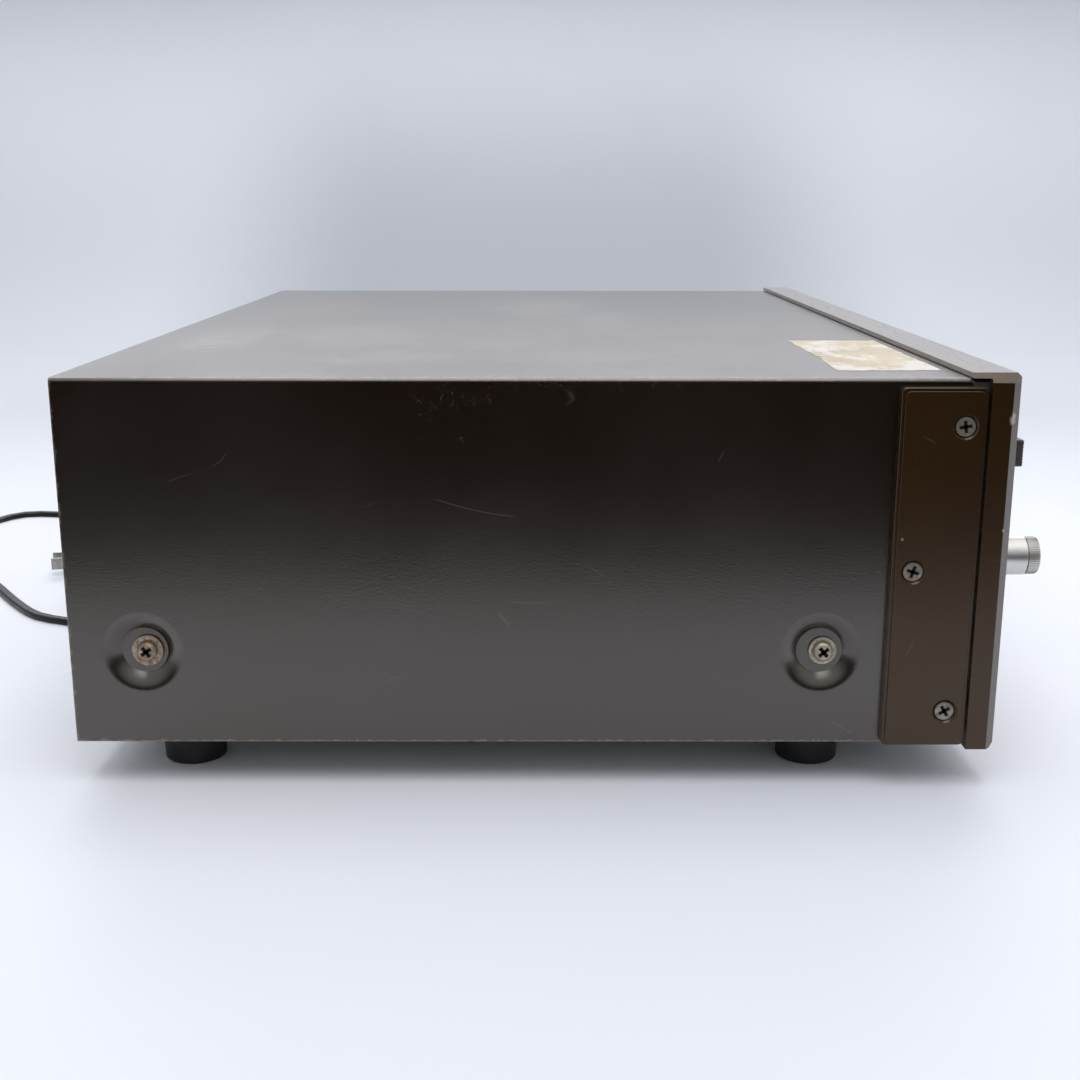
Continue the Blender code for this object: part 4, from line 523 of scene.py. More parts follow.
def laid(points):
    return [Vector((x, behind(y), z)) for x, y, z in points]


def smooth_route(points, spacing):
    """Points at a steady spacing along a smooth curve through the route's own points."""
    fine = []
    ends = [points[0] * 2 - points[1]] + points + [points[-1] * 2 - points[-2]]
    for i in range(1, len(ends) - 2):
        before, start, end, after = ends[i - 1], ends[i], ends[i + 1], ends[i + 2]
        knots = [0.0]
        for near, far in ((before, start), (start, end), (end, after)):
            knots.append(knots[-1] + math.sqrt((far - near).length))
        a, b, c, d = knots
        for step in range(24):
            t = b + (c - b) * step / 24
            p = before.lerp(start, (t - a) / (b - a))
            q = start.lerp(end, (t - b) / (c - b))
            r = end.lerp(after, (t - c) / (d - c))
            u = p.lerp(q, (t - a) / (c - a))
            v = q.lerp(r, (t - b) / (d - b))
            fine.append(u.lerp(v, (t - b) / (c - b)))
    fine.append(points[-1].copy())
    lengths = [0.0]
    for near, far in zip(fine, fine[1:]):
        lengths.append(lengths[-1] + (far - near).length)
    count = max(2, round(lengths[-1] / spacing))
    even = []
    at = 0
    for step in range(count + 1):
        goal = lengths[-1] * step / count
        while at < len(fine) - 2 and lengths[at + 1] < goal:
            at += 1
        share = (goal - lengths[at]) / (lengths[at + 1] - lengths[at])
        even.append(fine[at].lerp(fine[at + 1], min(1.0, share)))
    return even


def coil_path():
    """Loops that spiral in and out again in layers, climbing where the spiral reverses."""
    layer_angle = 2 * math.pi * coil_loops / coil_layers
    points = []
    for step in range(coil_points_a_loop * coil_loops + 1):
        angle = 2 * math.pi * step / coil_points_a_loop
        layer = min(coil_layers - 1, int(angle / layer_angle))
        share = angle / layer_angle - layer
        inward = share if layer % 2 == 0 else 1 - share
        radius = coil_outer - coil_swing * inward
        rise = 0.0
        for turn in range(1, coil_layers):
            progress = (angle - turn * layer_angle) / math.pi + 0.5
            progress = min(1.0, max(0.0, progress))
            rise += progress * progress * (3 - 2 * progress)
        heading = angle - math.pi / 2
        points.append(Vector((
            coil_x + radius * math.cos(heading),
            behind(coil_behind) + radius * math.sin(heading),
            lie + coil_pitch * rise,
        )))
    return points


coil = coil_path()
toward = Vector((end_straight + cord_gap, 0, 0))
run_points = laid(run_route) + [coil[0] - toward]
run_points[0].y = depth(cover_rear - rear_inset + relief_length + cord_gap)
run = smooth_route(run_points, point_spacing)
plug_back = plug_tip - plug_heading * (blade_length + plug_body_length + plug_tail_length)
plug_back.y = behind(plug_back.y)
tail_points = [coil[-1] + toward] + laid(tail_route)
tail_points += [plug_back - plug_heading * end_straight, plug_back - plug_heading * cord_gap]
tail = smooth_route(tail_points, point_spacing)
centre_line = [point - UP * sink for point in run + coil + tail]

# %% [markdown]
# The section is two circles side by side that run into each other, so the groove comes by
# itself. Each ring of points stands square to the route, with its wide side level.

# %% Flat cord
lobe_radius = cord_thickness / 2
lobe_offset = cord_width / 2 - lobe_radius
lobe_points = 9


def twin_section():
    meet = math.acos(lobe_offset / lobe_radius)
    points = []
    for side in (1, -1):
        for step in range(lobe_points):
            angle = (math.pi - meet) * (2 * (step + 0.5) / lobe_points - 1)
            points.append((side * (lobe_offset + lobe_radius * math.cos(angle)), side * lobe_radius * math.sin(angle)))
    return points


def sweep(name, points, section):
    """Skins a closed section along a line of points, with flat end caps."""
    shape = bmesh.new()
    rings = []
    for i, point in enumerate(points):
        along = (points[min(i + 1, len(points) - 1)] - points[max(i - 1, 0)]).normalized()
        across = along.cross(UP).normalized()
        over = across.cross(along)
        rings.append([shape.verts.new(point + across * u + over * v) for u, v in section])
    for first, second in zip(rings, rings[1:]):
        for k in range(len(section)):
            after = (k + 1) % len(section)
            shape.faces.new((first[k], first[after], second[after], second[k]))
    shape.faces.new(rings[0])
    shape.faces.new(rings[-1][::-1])
    bmesh.ops.recalc_face_normals(shape, faces=shape.faces)
    mesh = bpy.data.meshes.new(name)
    shape.to_mesh(mesh)
    shape.free()
    return draft(name, mesh)


vinyl, g, shader = new_material("cord_vinyl", 0.0, 0.25)
worn = g.group(grain, Place=g.place(), Scale=900.0, Drift=60.0)
g.feed(shader["Base Color"], g.mix(worn["Drift"], (0.006, 0.006, 0.006), (0.011, 0.0105, 0.0105)))
g.feed(shader["Roughness"], g.ramp(worn["Drift"], 0.0, 1.0, 0.26, 0.36))
g.feed(shader["Normal"], g.bump(worn["Grain"], 0.15, 0.0002))

cord = keep("mains_cord", sweep("mains_cord", centre_line, twin_section()), vinyl, "chassis",
            ("cord_run", "cord_coil", "cord_tail"), weighted=False)

# %% [markdown]
# The strain relief is a soft tapered sleeve with ribs, moulded round the cord where it leaves
# the rear panel. The plug is a flat moulded body with finger grooves and two metal blades.

# %% Strain relief
cord_x = run_route[0][0]
cord_z = run_route[0][2]
rear_face = cover_rear - rear_inset
relief_collar = 0.0075
relief_root = 0.0060
relief_tip = 0.0034
rib_count = 9
profile = [(0, relief_length), (relief_tip - 0.0005, relief_length), (relief_tip, relief_length - 0.0005)]
taper_low = 0.0035
for rib in range(rib_count):
    for share, sunk in ((0.0, 0.0), (0.45, 0.0), (0.60, 0.0007), (0.85, 0.0007)):
        along = (rib + share) / rib_count
        height = relief_length - 0.0015 - (relief_length - 0.0015 - taper_low) * along
        profile.append((relief_tip + (relief_root - relief_tip) * along - sunk, height))
profile += [(relief_root, taper_low), (relief_root + 0.0003, 0.0023), (relief_collar - 0.0005, 0.0023),
            (relief_collar, 0.0018), (relief_collar, 0.0003), (0.0045, 0.0003), (0.0045, -0.0015),
            (relief_collar, -0.0015), (relief_collar, -0.0035), (relief_root, -0.0080), (0, -0.0080)]
relief = keep("ribbed_strain_relief", lathe("relief", profile, (cord_x, depth(rear_face), cord_z), REAR, 48),
              vinyl, "chassis", ("strain_relief",))

# %% Plug
plug_half_width = 0.0110
plug_half_height = 0.0061
plug_turn = Matrix.Translation(plug_back) @ Matrix.Rotation(math.atan2(plug_heading.y, plug_heading.x), 4, "Z")
body_start = plug_tail_length
body_end = plug_tail_length + plug_body_length
outline = [
    (body_start, -0.0052), (body_start + 0.004, -0.0080), (body_start + 0.010, -plug_half_width),
    (body_end, -plug_half_width), (body_end, plug_half_width), (body_start + 0.010, plug_half_width),
    (body_start + 0.004, 0.0080), (body_start, 0.0052),
]
plug_body = soften(plate("plug_body", "z", -plug_half_height, plug_half_height, [outline]), 0.0018, 4, 25)
for number in range(4):
    at = body_start + 0.0095 + number * 0.0034
    for side in (-1, 1):
        groove = block(f"plug_groove_{number}_{side}", (at, side * plug_half_width - 0.0012, -0.0050),
                       (at + 0.0014, side * plug_half_width + 0.0012, 0.0050))
        cut(plug_body, groove)
neck = [(0, body_start + 0.0030), (0.0050, body_start + 0.0030), (0.0048, body_start - 0.0010)]
for rib in range(4):
    high = body_start - 0.0020 - rib * 0.0034
    neck += [(0.0046 - rib * 0.0003, high), (0.0046 - rib * 0.0003, high - 0.0018),
             (0.0040 - rib * 0.0003, high - 0.0021), (0.0040 - rib * 0.0003, high - 0.0031)]
neck += [(0.0034, 0.0003), (0.0030, 0.0), (0, 0)]
plug_neck = lathe("plug_neck", neck, (0, 0, 0), RIGHT, 40)
for drawn in (plug_body, plug_neck):
    drawn.matrix_world = plug_turn
for modifier in plug_body.modifiers:
    if modifier.type == "BOOLEAN":
        modifier.object.matrix_world = plug_turn
plug = keep("moulded_plug", [plug_body, plug_neck], vinyl, "chassis", ("mains_plug",))
blades = []
for side in (-1, 1):
    middle = side * 0.00635
    blade = soften(block(f"blade_{side}", (body_end - 0.001, middle - 0.00075, -0.0031),
                         (body_end + blade_length, middle + 0.00075, 0.0031)), 0.0005, 2)
    blade.matrix_world = plug_turn
    blades.append(blade)

brass, g, shader = new_material("plug_blades", 1.0, 0.5)
worn = g.group(grain, Place=g.place(), Scale=700.0, Drift=150.0)
g.feed(shader["Base Color"], g.mix(worn["Drift"], (0.34, 0.33, 0.31), (0.50, 0.48, 0.45)))
g.feed(shader["Roughness"], g.ramp(worn["Grain"], 0.0, 1.0, 0.22, 0.40))
plug_blades = keep("plug_blades", blades, brass, "chassis")

# %% [markdown]
# The stage is a white table that curves up into a backdrop behind the deck. On the camera's
# side the table ends soon: the dark room beyond its edge is what makes the upper part of the
# cover's side so dark in the photograph, while its lower part mirrors the bright table.

# %% Table and backdrop
table_front = -0.465
bend_start = 1.05
bend_radius = 0.55
table_half_length = 2.2
backdrop_top = 1.9
stage_profile = [(table_front, 0.0), (bend_start, 0.0)]
for step in range(1, 25):
    angle = math.pi / 2 * step / 24
    stage_profile.append((bend_start + bend_radius * math.sin(angle), bend_radius * (1 - math.cos(angle))))
stage_profile.append((bend_start + bend_radius, backdrop_top))
shape = bmesh.new()
rows = []
for x, z in stage_profile:
    rows.append([shape.verts.new((x, y, z - floor_gap / 10)) for y in (-table_half_length, table_half_length)])
for first, second in zip(rows, rows[1:]):
    shape.faces.new((first[0], second[0], second[1], first[1]))
mesh = bpy.data.meshes.new("table")
shape.to_mesh(mesh)
shape.free()
mesh.shade_smooth()
table = draft("table", mesh)

paper, g, shader = new_material("table_paper", 0.0, 0.3)
drift = g.group(grain, Place=g.place(), Scale=400.0, Drift=3.0)
paper_colour = g.mix(drift["Drift"], (0.75, 0.775, 0.84), (0.78, 0.80, 0.855))
spot = g.axes(g.place())
# Painted shadow: the backdrop is darkened low down and near the middle, right behind the deck, where the deck's shadow
# falls.
shade = g.math("MULTIPLY", g.ramp(spot[0], 0.4, 1.0), g.ramp(spot[2], 0.0, 0.50, 1.0, 0.0))
shade = g.math("MULTIPLY", shade, g.ramp(g.math("ABSOLUTE", spot[1]), 0.22, 0.55, 1.0, 0.0))
# Painted shade: the far table and the foot of the backdrop are greyer, as they are lit less than the backdrop higher
# up.
far = g.math("MULTIPLY", g.ramp(spot[0], -0.05, 0.70), g.ramp(spot[2], 0.08, 0.42, 1.0, 0.0))
paper_colour = g.mix(far, paper_colour, (0.545, 0.565, 0.61))
g.feed(shader["Base Color"], g.mix(shade, paper_colour, (0.345, 0.36, 0.395)))
g.feed(shader["Roughness"], g.ramp(drift["Grain"], 0.0, 1.0, 0.50, 0.60))
mesh.materials.append(paper)

# %% [markdown]
# One wide lamp overhead does most of the work, as the window or ceiling light does in the
# photograph. A weaker one from the front picks out the chamfers and the knob. The world is
# bright above and dim around the horizon on the camera's side.

# %% Lamps
def lamp(name, place, target, size, power, colour):
    data = bpy.data.lights.new(name, "AREA")
    data.shape = "RECTANGLE"
    data.size, data.size_y = size
    data.energy = power
    data.color = colour
    made = bpy.data.objects.new(name, data)
    made.location = place
    made.rotation_euler = (Vector(target) - Vector(place)).to_track_quat("-Z", "Y").to_euler()
    bpy.context.scene.collection.objects.link(made)
    return made


lamp("ceiling_light", (-0.42, 0.0, 1.75), (-0.15, 0.0, 0.0), (1.2, 2.2), 20.5, (1.0, 0.985, 0.97))
lamp("window_light", (1.30, 0.0, 0.95), (0.0, 0.0, 0.10), (2.4, 0.55), 13.0, (1.0, 0.995, 0.99))
lamp("front_light", (-0.25, -1.35, 0.75), (0.0, 0.0, 0.06), (0.9, 0.6), 1.4, (1.0, 0.99, 0.98))

# %% World
world = bpy.data.worlds.new("room")
bpy.context.scene.world = world
world.use_nodes = True
g = Graph(world.node_tree)
ways = g.axes(g.vector("NORMALIZE", g.put("ShaderNodeTexCoord").outputs["Generated"]))
high = g.ramp(ways[2], -0.05, 0.75)
level = g.ramp(ways[0], -0.80, -0.10)
pale = g.mix(high, (0.60, 0.63, 0.69), (0.80, 0.82, 0.86))
dim = g.mix(g.ramp(ways[2], 0.05, 0.60), (0.012, 0.008, 0.006), (0.80, 0.82, 0.86))
backing = world.node_tree.nodes["Background"]
g.feed(backing.inputs["Color"], g.mix(level, dim, pale))
backing.inputs["Strength"].default_value = 0.85
bpy.context.scene.view_settings.view_transform = "Standard"

# %% [markdown]
# The cover's paint is a dark grey-brown stoving enamel with a fine orange-peel grain. It is
# rubbed bare along the top edges, and those pale edge lines are also a painted highlight. It has
# thin curved scratches where hands lift the deck, and brown stains near the rear upper corner.
# Dust lies on its top, and is made paler towards the left side as a painted sheen. Each mark is
# a mask that mixes in its own colour and makes the paint rougher or smoother.

# %% Cover paint
def marks(g, place, spots):
    """The strongest of several stains: (centre, size, raggedness, noise scale, strength)."""
    total = None
    for centre, size, ragged, scale, strength in spots:
        one = g.group(stain, Place=place, Centre=centre, Size=size, Ragged=ragged, Scale=scale)["Stain"]
        one = g.math("MULTIPLY", one, strength)
        total = one if total is None else g.math("MAXIMUM", total, one)
    return total


cover_top = cover_high.z
side_x = -cover_half
cover_paint, g, shader = new_material("cover_enamel", 0.0, 0.92, ior=1.62, tint=(1.0, 0.955, 0.88), coat=0.10)
place = g.place()
fine = g.group(grain, Place=place, Scale=1700.0, Drift=14.0)
hairs = g.group(scratches, Place=place, Scale=38.0, Width=0.0035, Amount=0.40)["Scratches"]
coarse = g.group(scratches, Place=place, Scale=16.0, Width=0.0016, Amount=0.36)["Scratches"]
cover_middle = (cover_low + cover_high) / 2
cover_size = (cover_high - cover_low) / 2
edge = g.group(edge_wear_and_highlight, Place=place, Half=cover_size, Middle=cover_middle, Width=0.0011, Scale=260.0)["Edge"]
rust = marks(g, place, [
    ((side_x, depth(0.245), 0.113), (0.02, 0.036, 0.022), 0.9, 240.0, 0.85),
    ((side_x, depth(0.262), 0.090), (0.02, 0.022, 0.016), 0.9, 220.0, 0.5),
    ((side_x, depth(0.225), 0.125), (0.02, 0.040, 0.010), 0.8, 260.0, 0.6),
    ((side_x + 0.05, depth(0.292), cover_top), (0.045, 0.018, 0.01), 0.8, 90.0, 0.7),
    ((side_x + 0.20, depth(0.285), cover_top), (0.10, 0.025, 0.01), 0.9, 60.0, 0.5),
])
scuffs = marks(g, place, [
    ((side_x, depth(0.176), 0.128), (0.02, 0.026, 0.012), 0.9, 420.0, 0.55),
    ((side_x, depth(0.140), 0.1365), (0.02, 0.050, 0.003), 0.9, 500.0, 0.6),
    ((side_x, depth(0.0170), cover_top - 0.0006), (0.003, 0.0045, 0.0016), 0.6, 700.0, 1.0),
])
smear = marks(g, place, [
    ((side_x + 0.13, depth(0.225), cover_top), (0.060, 0.030, 0.01), 0.15, 18.0, 0.5),
    ((side_x + 0.30, depth(0.150), cover_top), (0.080, 0.030, 0.01), 0.15, 18.0, 0.5),
    ((side_x + 0.22, depth(0.120), cover_top), (0.050, 0.020, 0.01), 0.15, 18.0, 0.4),
    ((side_x + 0.13, depth(0.278), cover_top), (0.060, 0.020, 0.01), 0.15, 18.0, 0.8),
])
colour = g.mix(fine["Drift"], (0.0085, 0.0034, 0.0014), (0.0115, 0.0054, 0.0030))
colour = g.mix(g.math("MULTIPLY", fine["Grain"], 0.20), colour, (0.018, 0.011, 0.007))
film = g.group(stain, Place=place, Centre=(side_x, depth(0.268), 0.112), Size=(0.02, 0.060, 0.035), Ragged=0.25, Scale=60.0)["Stain"]
colour = g.mix(g.math("MULTIPLY", film, 0.35), colour, (0.026, 0.022, 0.020))
colour = g.mix(g.math("MULTIPLY", rust, 0.7), colour, (0.0090, 0.0034, 0.0014))
# Dust on the top face, real dust and also a painted sheen: it is strongest on the left side and falls to a tenth on the
# right, which lightens the near part of the top.
dust_and_sheen = g.ramp(g.axes(place)[2], cover_top - 0.0006, cover_top - 0.0001)
dust_and_sheen = g.math("MULTIPLY", dust_and_sheen, g.ramp(g.axes(place)[0], side_x, -side_x, 1.0, 0.1))
dust_and_sheen = g.math("MULTIPLY", dust_and_sheen, g.ramp(fine["Drift"], 0.0, 1.0, 0.88, 1.0))
mottle = g.ramp(g.noise(place, 95.0, 5.0, 0.65), 0.38, 0.66)
dust_and_sheen_colour = g.mix(mottle, (0.184, 0.172, 0.160), (0.124, 0.109, 0.096))
colour = g.mix(g.math("MULTIPLY", dust_and_sheen, 0.8), colour, dust_and_sheen_colour)
faded = marks(g, place, [
    ((side_x + 0.27, depth(0.262), cover_top), (0.090, 0.030, 0.01), 0.5, 50.0, 0.9),
    ((side_x + 0.03, depth(0.195), cover_top), (0.020, 0.060, 0.01), 0.6, 70.0, 0.8),
    ((side_x + 0.02, depth(0.285), cover_top), (0.030, 0.020, 0.01), 0.6, 80.0, 0.8),
])
faded = g.math("MULTIPLY", faded, g.ramp(g.axes(place)[2], cover_top - 0.0006, cover_top - 0.0001))
colour = g.mix(g.math("MULTIPLY", faded, 0.8), colour, (0.085, 0.052, 0.038))
colour = g.mix(g.math("MULTIPLY", smear, 0.5), colour, (0.22, 0.205, 0.20))
speckle = g.math("MULTIPLY", scuffs, g.ramp(g.noise(place, 1100.0, 4.0, 0.6), 0.56, 0.66))
speckle = g.math("MULTIPLY", speckle, g.ramp(g.noise(place, 150.0, 3.0, 0.6), 0.46, 0.60))
wear_and_highlight = g.math("MAXIMUM", g.math("MULTIPLY", hairs, 0.15), g.math("MULTIPLY", coarse, 0.06))
wear_and_highlight = g.math("MAXIMUM", wear_and_highlight, g.math("MULTIPLY", speckle, 0.34))
# The pale line along the top edges is rubbed paint and also a painted edge highlight.
wear_and_highlight = g.math("MAXIMUM", wear_and_highlight, g.math("MULTIPLY", edge, 0.60))
colour = g.mix(wear_and_highlight, colour, (0.24, 0.215, 0.19))
g.feed(shader["Base Color"], colour)
gloss = g.ramp(fine["Drift"], 0.0, 1.0, 0.22, 0.25)
gloss = g.math("ADD", gloss, g.math("MULTIPLY", rust, 0.015))
gloss = g.math("ADD", gloss, g.math("MULTIPLY", g.math("MULTIPLY", dust_and_sheen, mottle), 0.02))
gloss = g.math("ADD", gloss, g.math("MULTIPLY", smear, 0.02))
g.feed(shader["Roughness"], gloss)
relief_height = g.math("SUBTRACT", fine["Grain"], g.math("MULTIPLY", wear_and_highlight, 0.3))
g.feed(shader["Normal"], g.bump(relief_height, 0.12, 0.00006))

# %% [markdown]
# The cover is one folded sheet. The fold is drawn as the outline of a thin channel, open below,
# with round corners, and given its length. Each pressed dish is a turned boss behind the sheet
# with a turned hollow cut out of both, on a cosine slope so that it runs softly into the side.

# %% Cover
cover_sheet = 0.0010
fold_radius = 0.0014
dish_radius = 0.0140
dish_floor = 0.0077
dish_sink = 0.0030
dish_rise = 0.0315
dish_depths = (0.0582, 0.2834)
dish_rings = 14
screw_hole = 0.0030
lip_depth = 0.0146
joint_gap = 0.0003
screw_shift = -0.0010
cap_screws = ((0.0164, 0.1078), (0.0302, 0.0601), (0.0167, 0.0121))
cover_bottom = cover_low.z


def folded_outline(half, low, high, thickness, radius, steps=6):
    """A channel open below, seen along Y: outer line with round corners, then the inner one."""
    points = []
    for grow, order in ((0.0, 1), (thickness, -1)):
        arc = []
        bend = radius - grow if radius > grow else 0.0002
        for side, start in ((-1, 180), (1, 90)):
            for step in range(steps + 1):
                angle = math.radians(start - 90 * step / steps)
                arc.append((side * (half - grow - bend) + bend * math.cos(angle),
                            high - grow - bend + bend * math.sin(angle)))
        line = [(-half + grow, low)] + arc + [(half - grow, low)]
        points += line[::order]
    return points


shell = plate("cover_shell", "y", depth(lip_depth - joint_gap - 0.0005), cover_high.y, [
    folded_outline(cover_half, cover_bottom, cover_top, cover_sheet, fold_radius)
])
slope = [i / dish_rings for i in range(dish_rings + 1)]
dish = [(0, overrun), (dish_radius, overrun)]
dish += [(dish_radius + (dish_floor - dish_radius) * s, -dish_sink * (1 - math.cos(math.pi / 2 * s))) for s in slope]
dish += [(0, -dish_sink)]
boss = [(0, -cover_sheet * 0.6), (dish_radius - 0.0006, -cover_sheet * 0.6), (dish_floor + cover_sheet, -dish_sink - cover_sheet),
        (0, -dish_sink - cover_sheet)]
spots = []
for side, towards in (("left", LEFT), ("right", RIGHT)):
    for number, at_depth in enumerate(dish_depths):
        spot = (towards.x * cover_half, depth(at_depth), cover_bottom + dish_rise)
        spots.append((f"{side}_{number}", spot, towards))
for name, spot, towards in spots:
    join(shell, lathe(f"boss_{name}", boss, spot, towards, 90))
for name, spot, towards in spots:
    cut(shell, lathe(f"dish_{name}", dish, spot, towards, 96))
for name, spot, towards in spots:
    shifted = (spot[0], spot[1] + screw_shift, spot[2])
    cut(shell, rod(f"hole_{name}", screw_hole, -0.008, 0.002, shifted, towards))
keep("folded_cover", shell, cover_paint, "chassis", ("top_cover",), sharp=30)
print("cover", [round(v * 2000, 1) for v in cover_size])

# %% [markdown]
# The screws are plated steel. The cover's screws have a round washer pressed against the dish
# and a pan head with a cross cut into it. One is still pale, the other has gone brown, so the
# finish takes the amount of rust from the distance to the rear screw.

# %% Screw metals
def screw_metal(name, bright, dull, rusty, amount):
    made, g, shader = new_material(name, 0.85, 0.5)
    place = g.place()
    worn = g.group(grain, Place=place, Scale=1300.0, Drift=420.0)
    spots = g.ramp(g.noise(place, 700.0, 5.0, 0.7), 0.62 - amount * 0.3, 0.75 - amount * 0.2)
    colour = g.mix(worn["Drift"], bright, dull)
    colour = g.mix(g.math("MULTIPLY", worn["Grain"], 0.25), colour, (0.10, 0.085, 0.07))
    g.feed(shader["Base Color"], g.mix(spots, colour, rusty))
    g.feed(shader["Metallic"], g.ramp(spots, 0.0, 1.0, 0.85, 0.15))
    g.feed(shader["Roughness"], g.ramp(worn["Drift"], 0.0, 1.0, 0.38, 0.60))
    g.feed(shader["Normal"], g.bump(g.math("ADD", worn["Grain"], spots), 0.3, 0.00012))
    return made


pale_screw = screw_metal("pale_screw", (0.62, 0.57, 0.46), (0.42, 0.38, 0.30), (0.14, 0.07, 0.03), 0.1)
brown_screw = screw_metal("brown_screw", (0.52, 0.44, 0.35), (0.32, 0.24, 0.17), (0.17, 0.085, 0.04), 0.45)
cap_screw_metal = screw_metal("cap_screw_metal", (0.36, 0.33, 0.28), (0.25, 0.22, 0.18), (0.10, 0.05, 0.03), 0.1)

# %% Cover screws
washer_radius = 0.0053
washer_thickness = 0.0008
pan_radius = 0.0032
pan_height = 0.0021


# Near-black material: black print on the dials and knob marks, and a painted shade that fills the screws' cross
# recesses.
black_print_and_shade, g, shader = new_material("black_print_and_painted_shade", 0.0, 0.2)
worn = g.group(grain, Place=g.place(), Scale=2500.0, Drift=300.0)
g.feed(shader["Base Color"], g.mix(worn["Grain"], (0.006, 0.005, 0.004), (0.014, 0.011, 0.008)))
g.feed(shader["Roughness"], g.ramp(worn["Drift"], 0.0, 1.0, 0.8, 0.95))


def cross_cut(target, spot, towards, half_length, half_width, sunk, turn):
    """Cuts a driver's cross, tapered towards its floor, and hands back a near-black fill for it, which is painted
    shade.
    """
    cross_shade = []
    base = Matrix.Translation(Vector(spot)) @ Vector(towards).to_track_quat("Z", "Y").to_matrix().to_4x4()
    for number in range(2):
        bar = block(f"cross_{number}", (-half_length, -half_width, -sunk), (half_length, half_width, 0.001))
        shade_fill = block(f"dirt_{number}", (-half_length * 0.95, -half_width * 0.98, -sunk - 0.0001),
                       (half_length * 0.95, half_width * 0.98, -sunk * 0.18))
        for drawn in (bar, shade_fill):
            for vertex in drawn.data.vertices:
                if vertex.co.z < -sunk * 0.9:
                    vertex.co.x *= 0.65
                    vertex.co.y *= 0.75
            drawn.matrix_world = base @ Matrix.Rotation(turn + number * math.pi / 2, 4, "Z")
        cut(target, bar)
        cross_shade.append(shade_fill)
    return cross_shade


washer_low = -dish_sink + joint_gap
washer_high = washer_low + washer_thickness
head_high = washer_high + pan_height


def pan_screw_profile(washer):
    """A crowned pan head that narrows above its washer, so that a dark line parts the two."""
    points = [(0, head_high)]
    for step in range(9):
        angle = math.pi / 2 * step / 8
        points.append((0.0016 + (pan_radius - 0.0016) * math.sin(angle),
                       washer_high + 0.0009 + (pan_height - 0.0009) * math.cos(angle)))
    return points + [
        (pan_radius, washer_high + 0.0004), (pan_radius - 0.0004, washer_high + 0.0001),
        (pan_radius - 0.0002, washer_high - 0.0002), (pan_radius + 0.0005, washer_high), (washer - 0.0004, washer_high),
        (washer - 0.0001, washer_high - 0.0001), (washer, washer_high - 0.0004), (washer, washer_low),
        (0.0018, washer_low), (0.0018, washer_low - 0.0080), (0, washer_low - 0.0080),
    ]


turns = {"front_left": 0.70, "rear_left": 0.62, "front_right": 0.9, "rear_right": 0.1}
for side, towards in (("left", LEFT), ("right", RIGHT)):
    for row, at_depth in zip(("front", "rear"), dish_depths):
        spot = Vector((towards.x * cover_half, depth(at_depth) + screw_shift, cover_bottom + dish_rise))
        name = f"{row}_{side}"
        washer = washer_radius if row == "rear" else washer_radius - 0.0006
        head = lathe(f"pan_screw_{name}", pan_screw_profile(washer), spot, towards, 56)
        # The cross's near-black fill is painted shade.
        cross_shade = cross_cut(head, spot + towards * head_high, towards, 0.0024, 0.00072, 0.0017, turns[name])
        finish = brown_screw if name in ("rear_left", "front_right") else pale_screw
        keep(f"pan_screw_{name}", [head, *cross_shade], [finish, black_print_and_shade, black_print_and_shade], "chassis",
             (f"cover_screw_{name}",))

# %% [markdown]
# The fascia and its side caps are aluminium, brushed lightly along their length and anodised
# bronze-brown. The anodised skin is worn through to paler metal on the outer edges, and these
# pale rim lines are also a painted highlight. It has a chip or two. The top of the fascia's lip
# is mixed towards the paler metal as a painted sheen. The same material serves both, with the
# brushing as a stretched noise.

# %% Bronze finish
def bronze(name, half, middle, brush, chips, lip_sheen):
    made, g, shader = new_material(name, 0.0, 0.25, tint=(1.0, 0.65, 0.30), coat=0.8)
    place = g.place()
    fine = g.group(grain, Place=place, Scale=1400.0, Drift=25.0)
    brushed = g.noise(g.stretch(place, brush), 220.0, 3.0, 0.5)
    edge = g.group(edge_wear_and_highlight, Place=place, Half=half, Middle=middle, Width=0.0003, Scale=200.0)["Edge"]
    hairs = g.group(scratches, Place=place, Scale=55.0, Width=0.003, Amount=0.36)["Scratches"]
    chipped = marks(g, place, chips)
    colour = g.mix(fine["Drift"], (0.023, 0.0088, 0.0006), (0.029, 0.0120, 0.0012))
    colour = g.mix(g.math("MULTIPLY", brushed, 0.10), colour, (0.044, 0.024, 0.009))
    # The pale lines along the rims are worn anodising and also a painted edge highlight.
    wear_and_highlight = g.math("MAXIMUM", g.math("MULTIPLY", edge, 0.50), g.math("MULTIPLY", hairs, 0.10))
    # Painted sheen: the top few millimetres of the fascia, its lip, are mixed towards the paler metal, standing in for
    # the bright reflection on it.
    upper = g.ramp(g.axes(place)[2], panel_high.z - 0.0035, panel_high.z - 0.0025, 0.0, lip_sheen)
    wear_and_highlight = g.math("MAXIMUM", wear_and_highlight, upper)
    wear_and_highlight = g.math("MAXIMUM", wear_and_highlight, chipped)
    g.feed(shader["Base Color"], g.mix(wear_and_highlight, colour, (0.40, 0.34, 0.29)))
    g.feed(shader["Roughness"], g.ramp(brushed, 0.3, 0.7, 0.27, 0.33))
    height = g.math("ADD", g.math("MULTIPLY", brushed, 0.3), g.math("MULTIPLY", fine["Grain"], 0.3))
    g.feed(shader["Normal"], g.bump(height, 0.07, 0.00005))
    return made


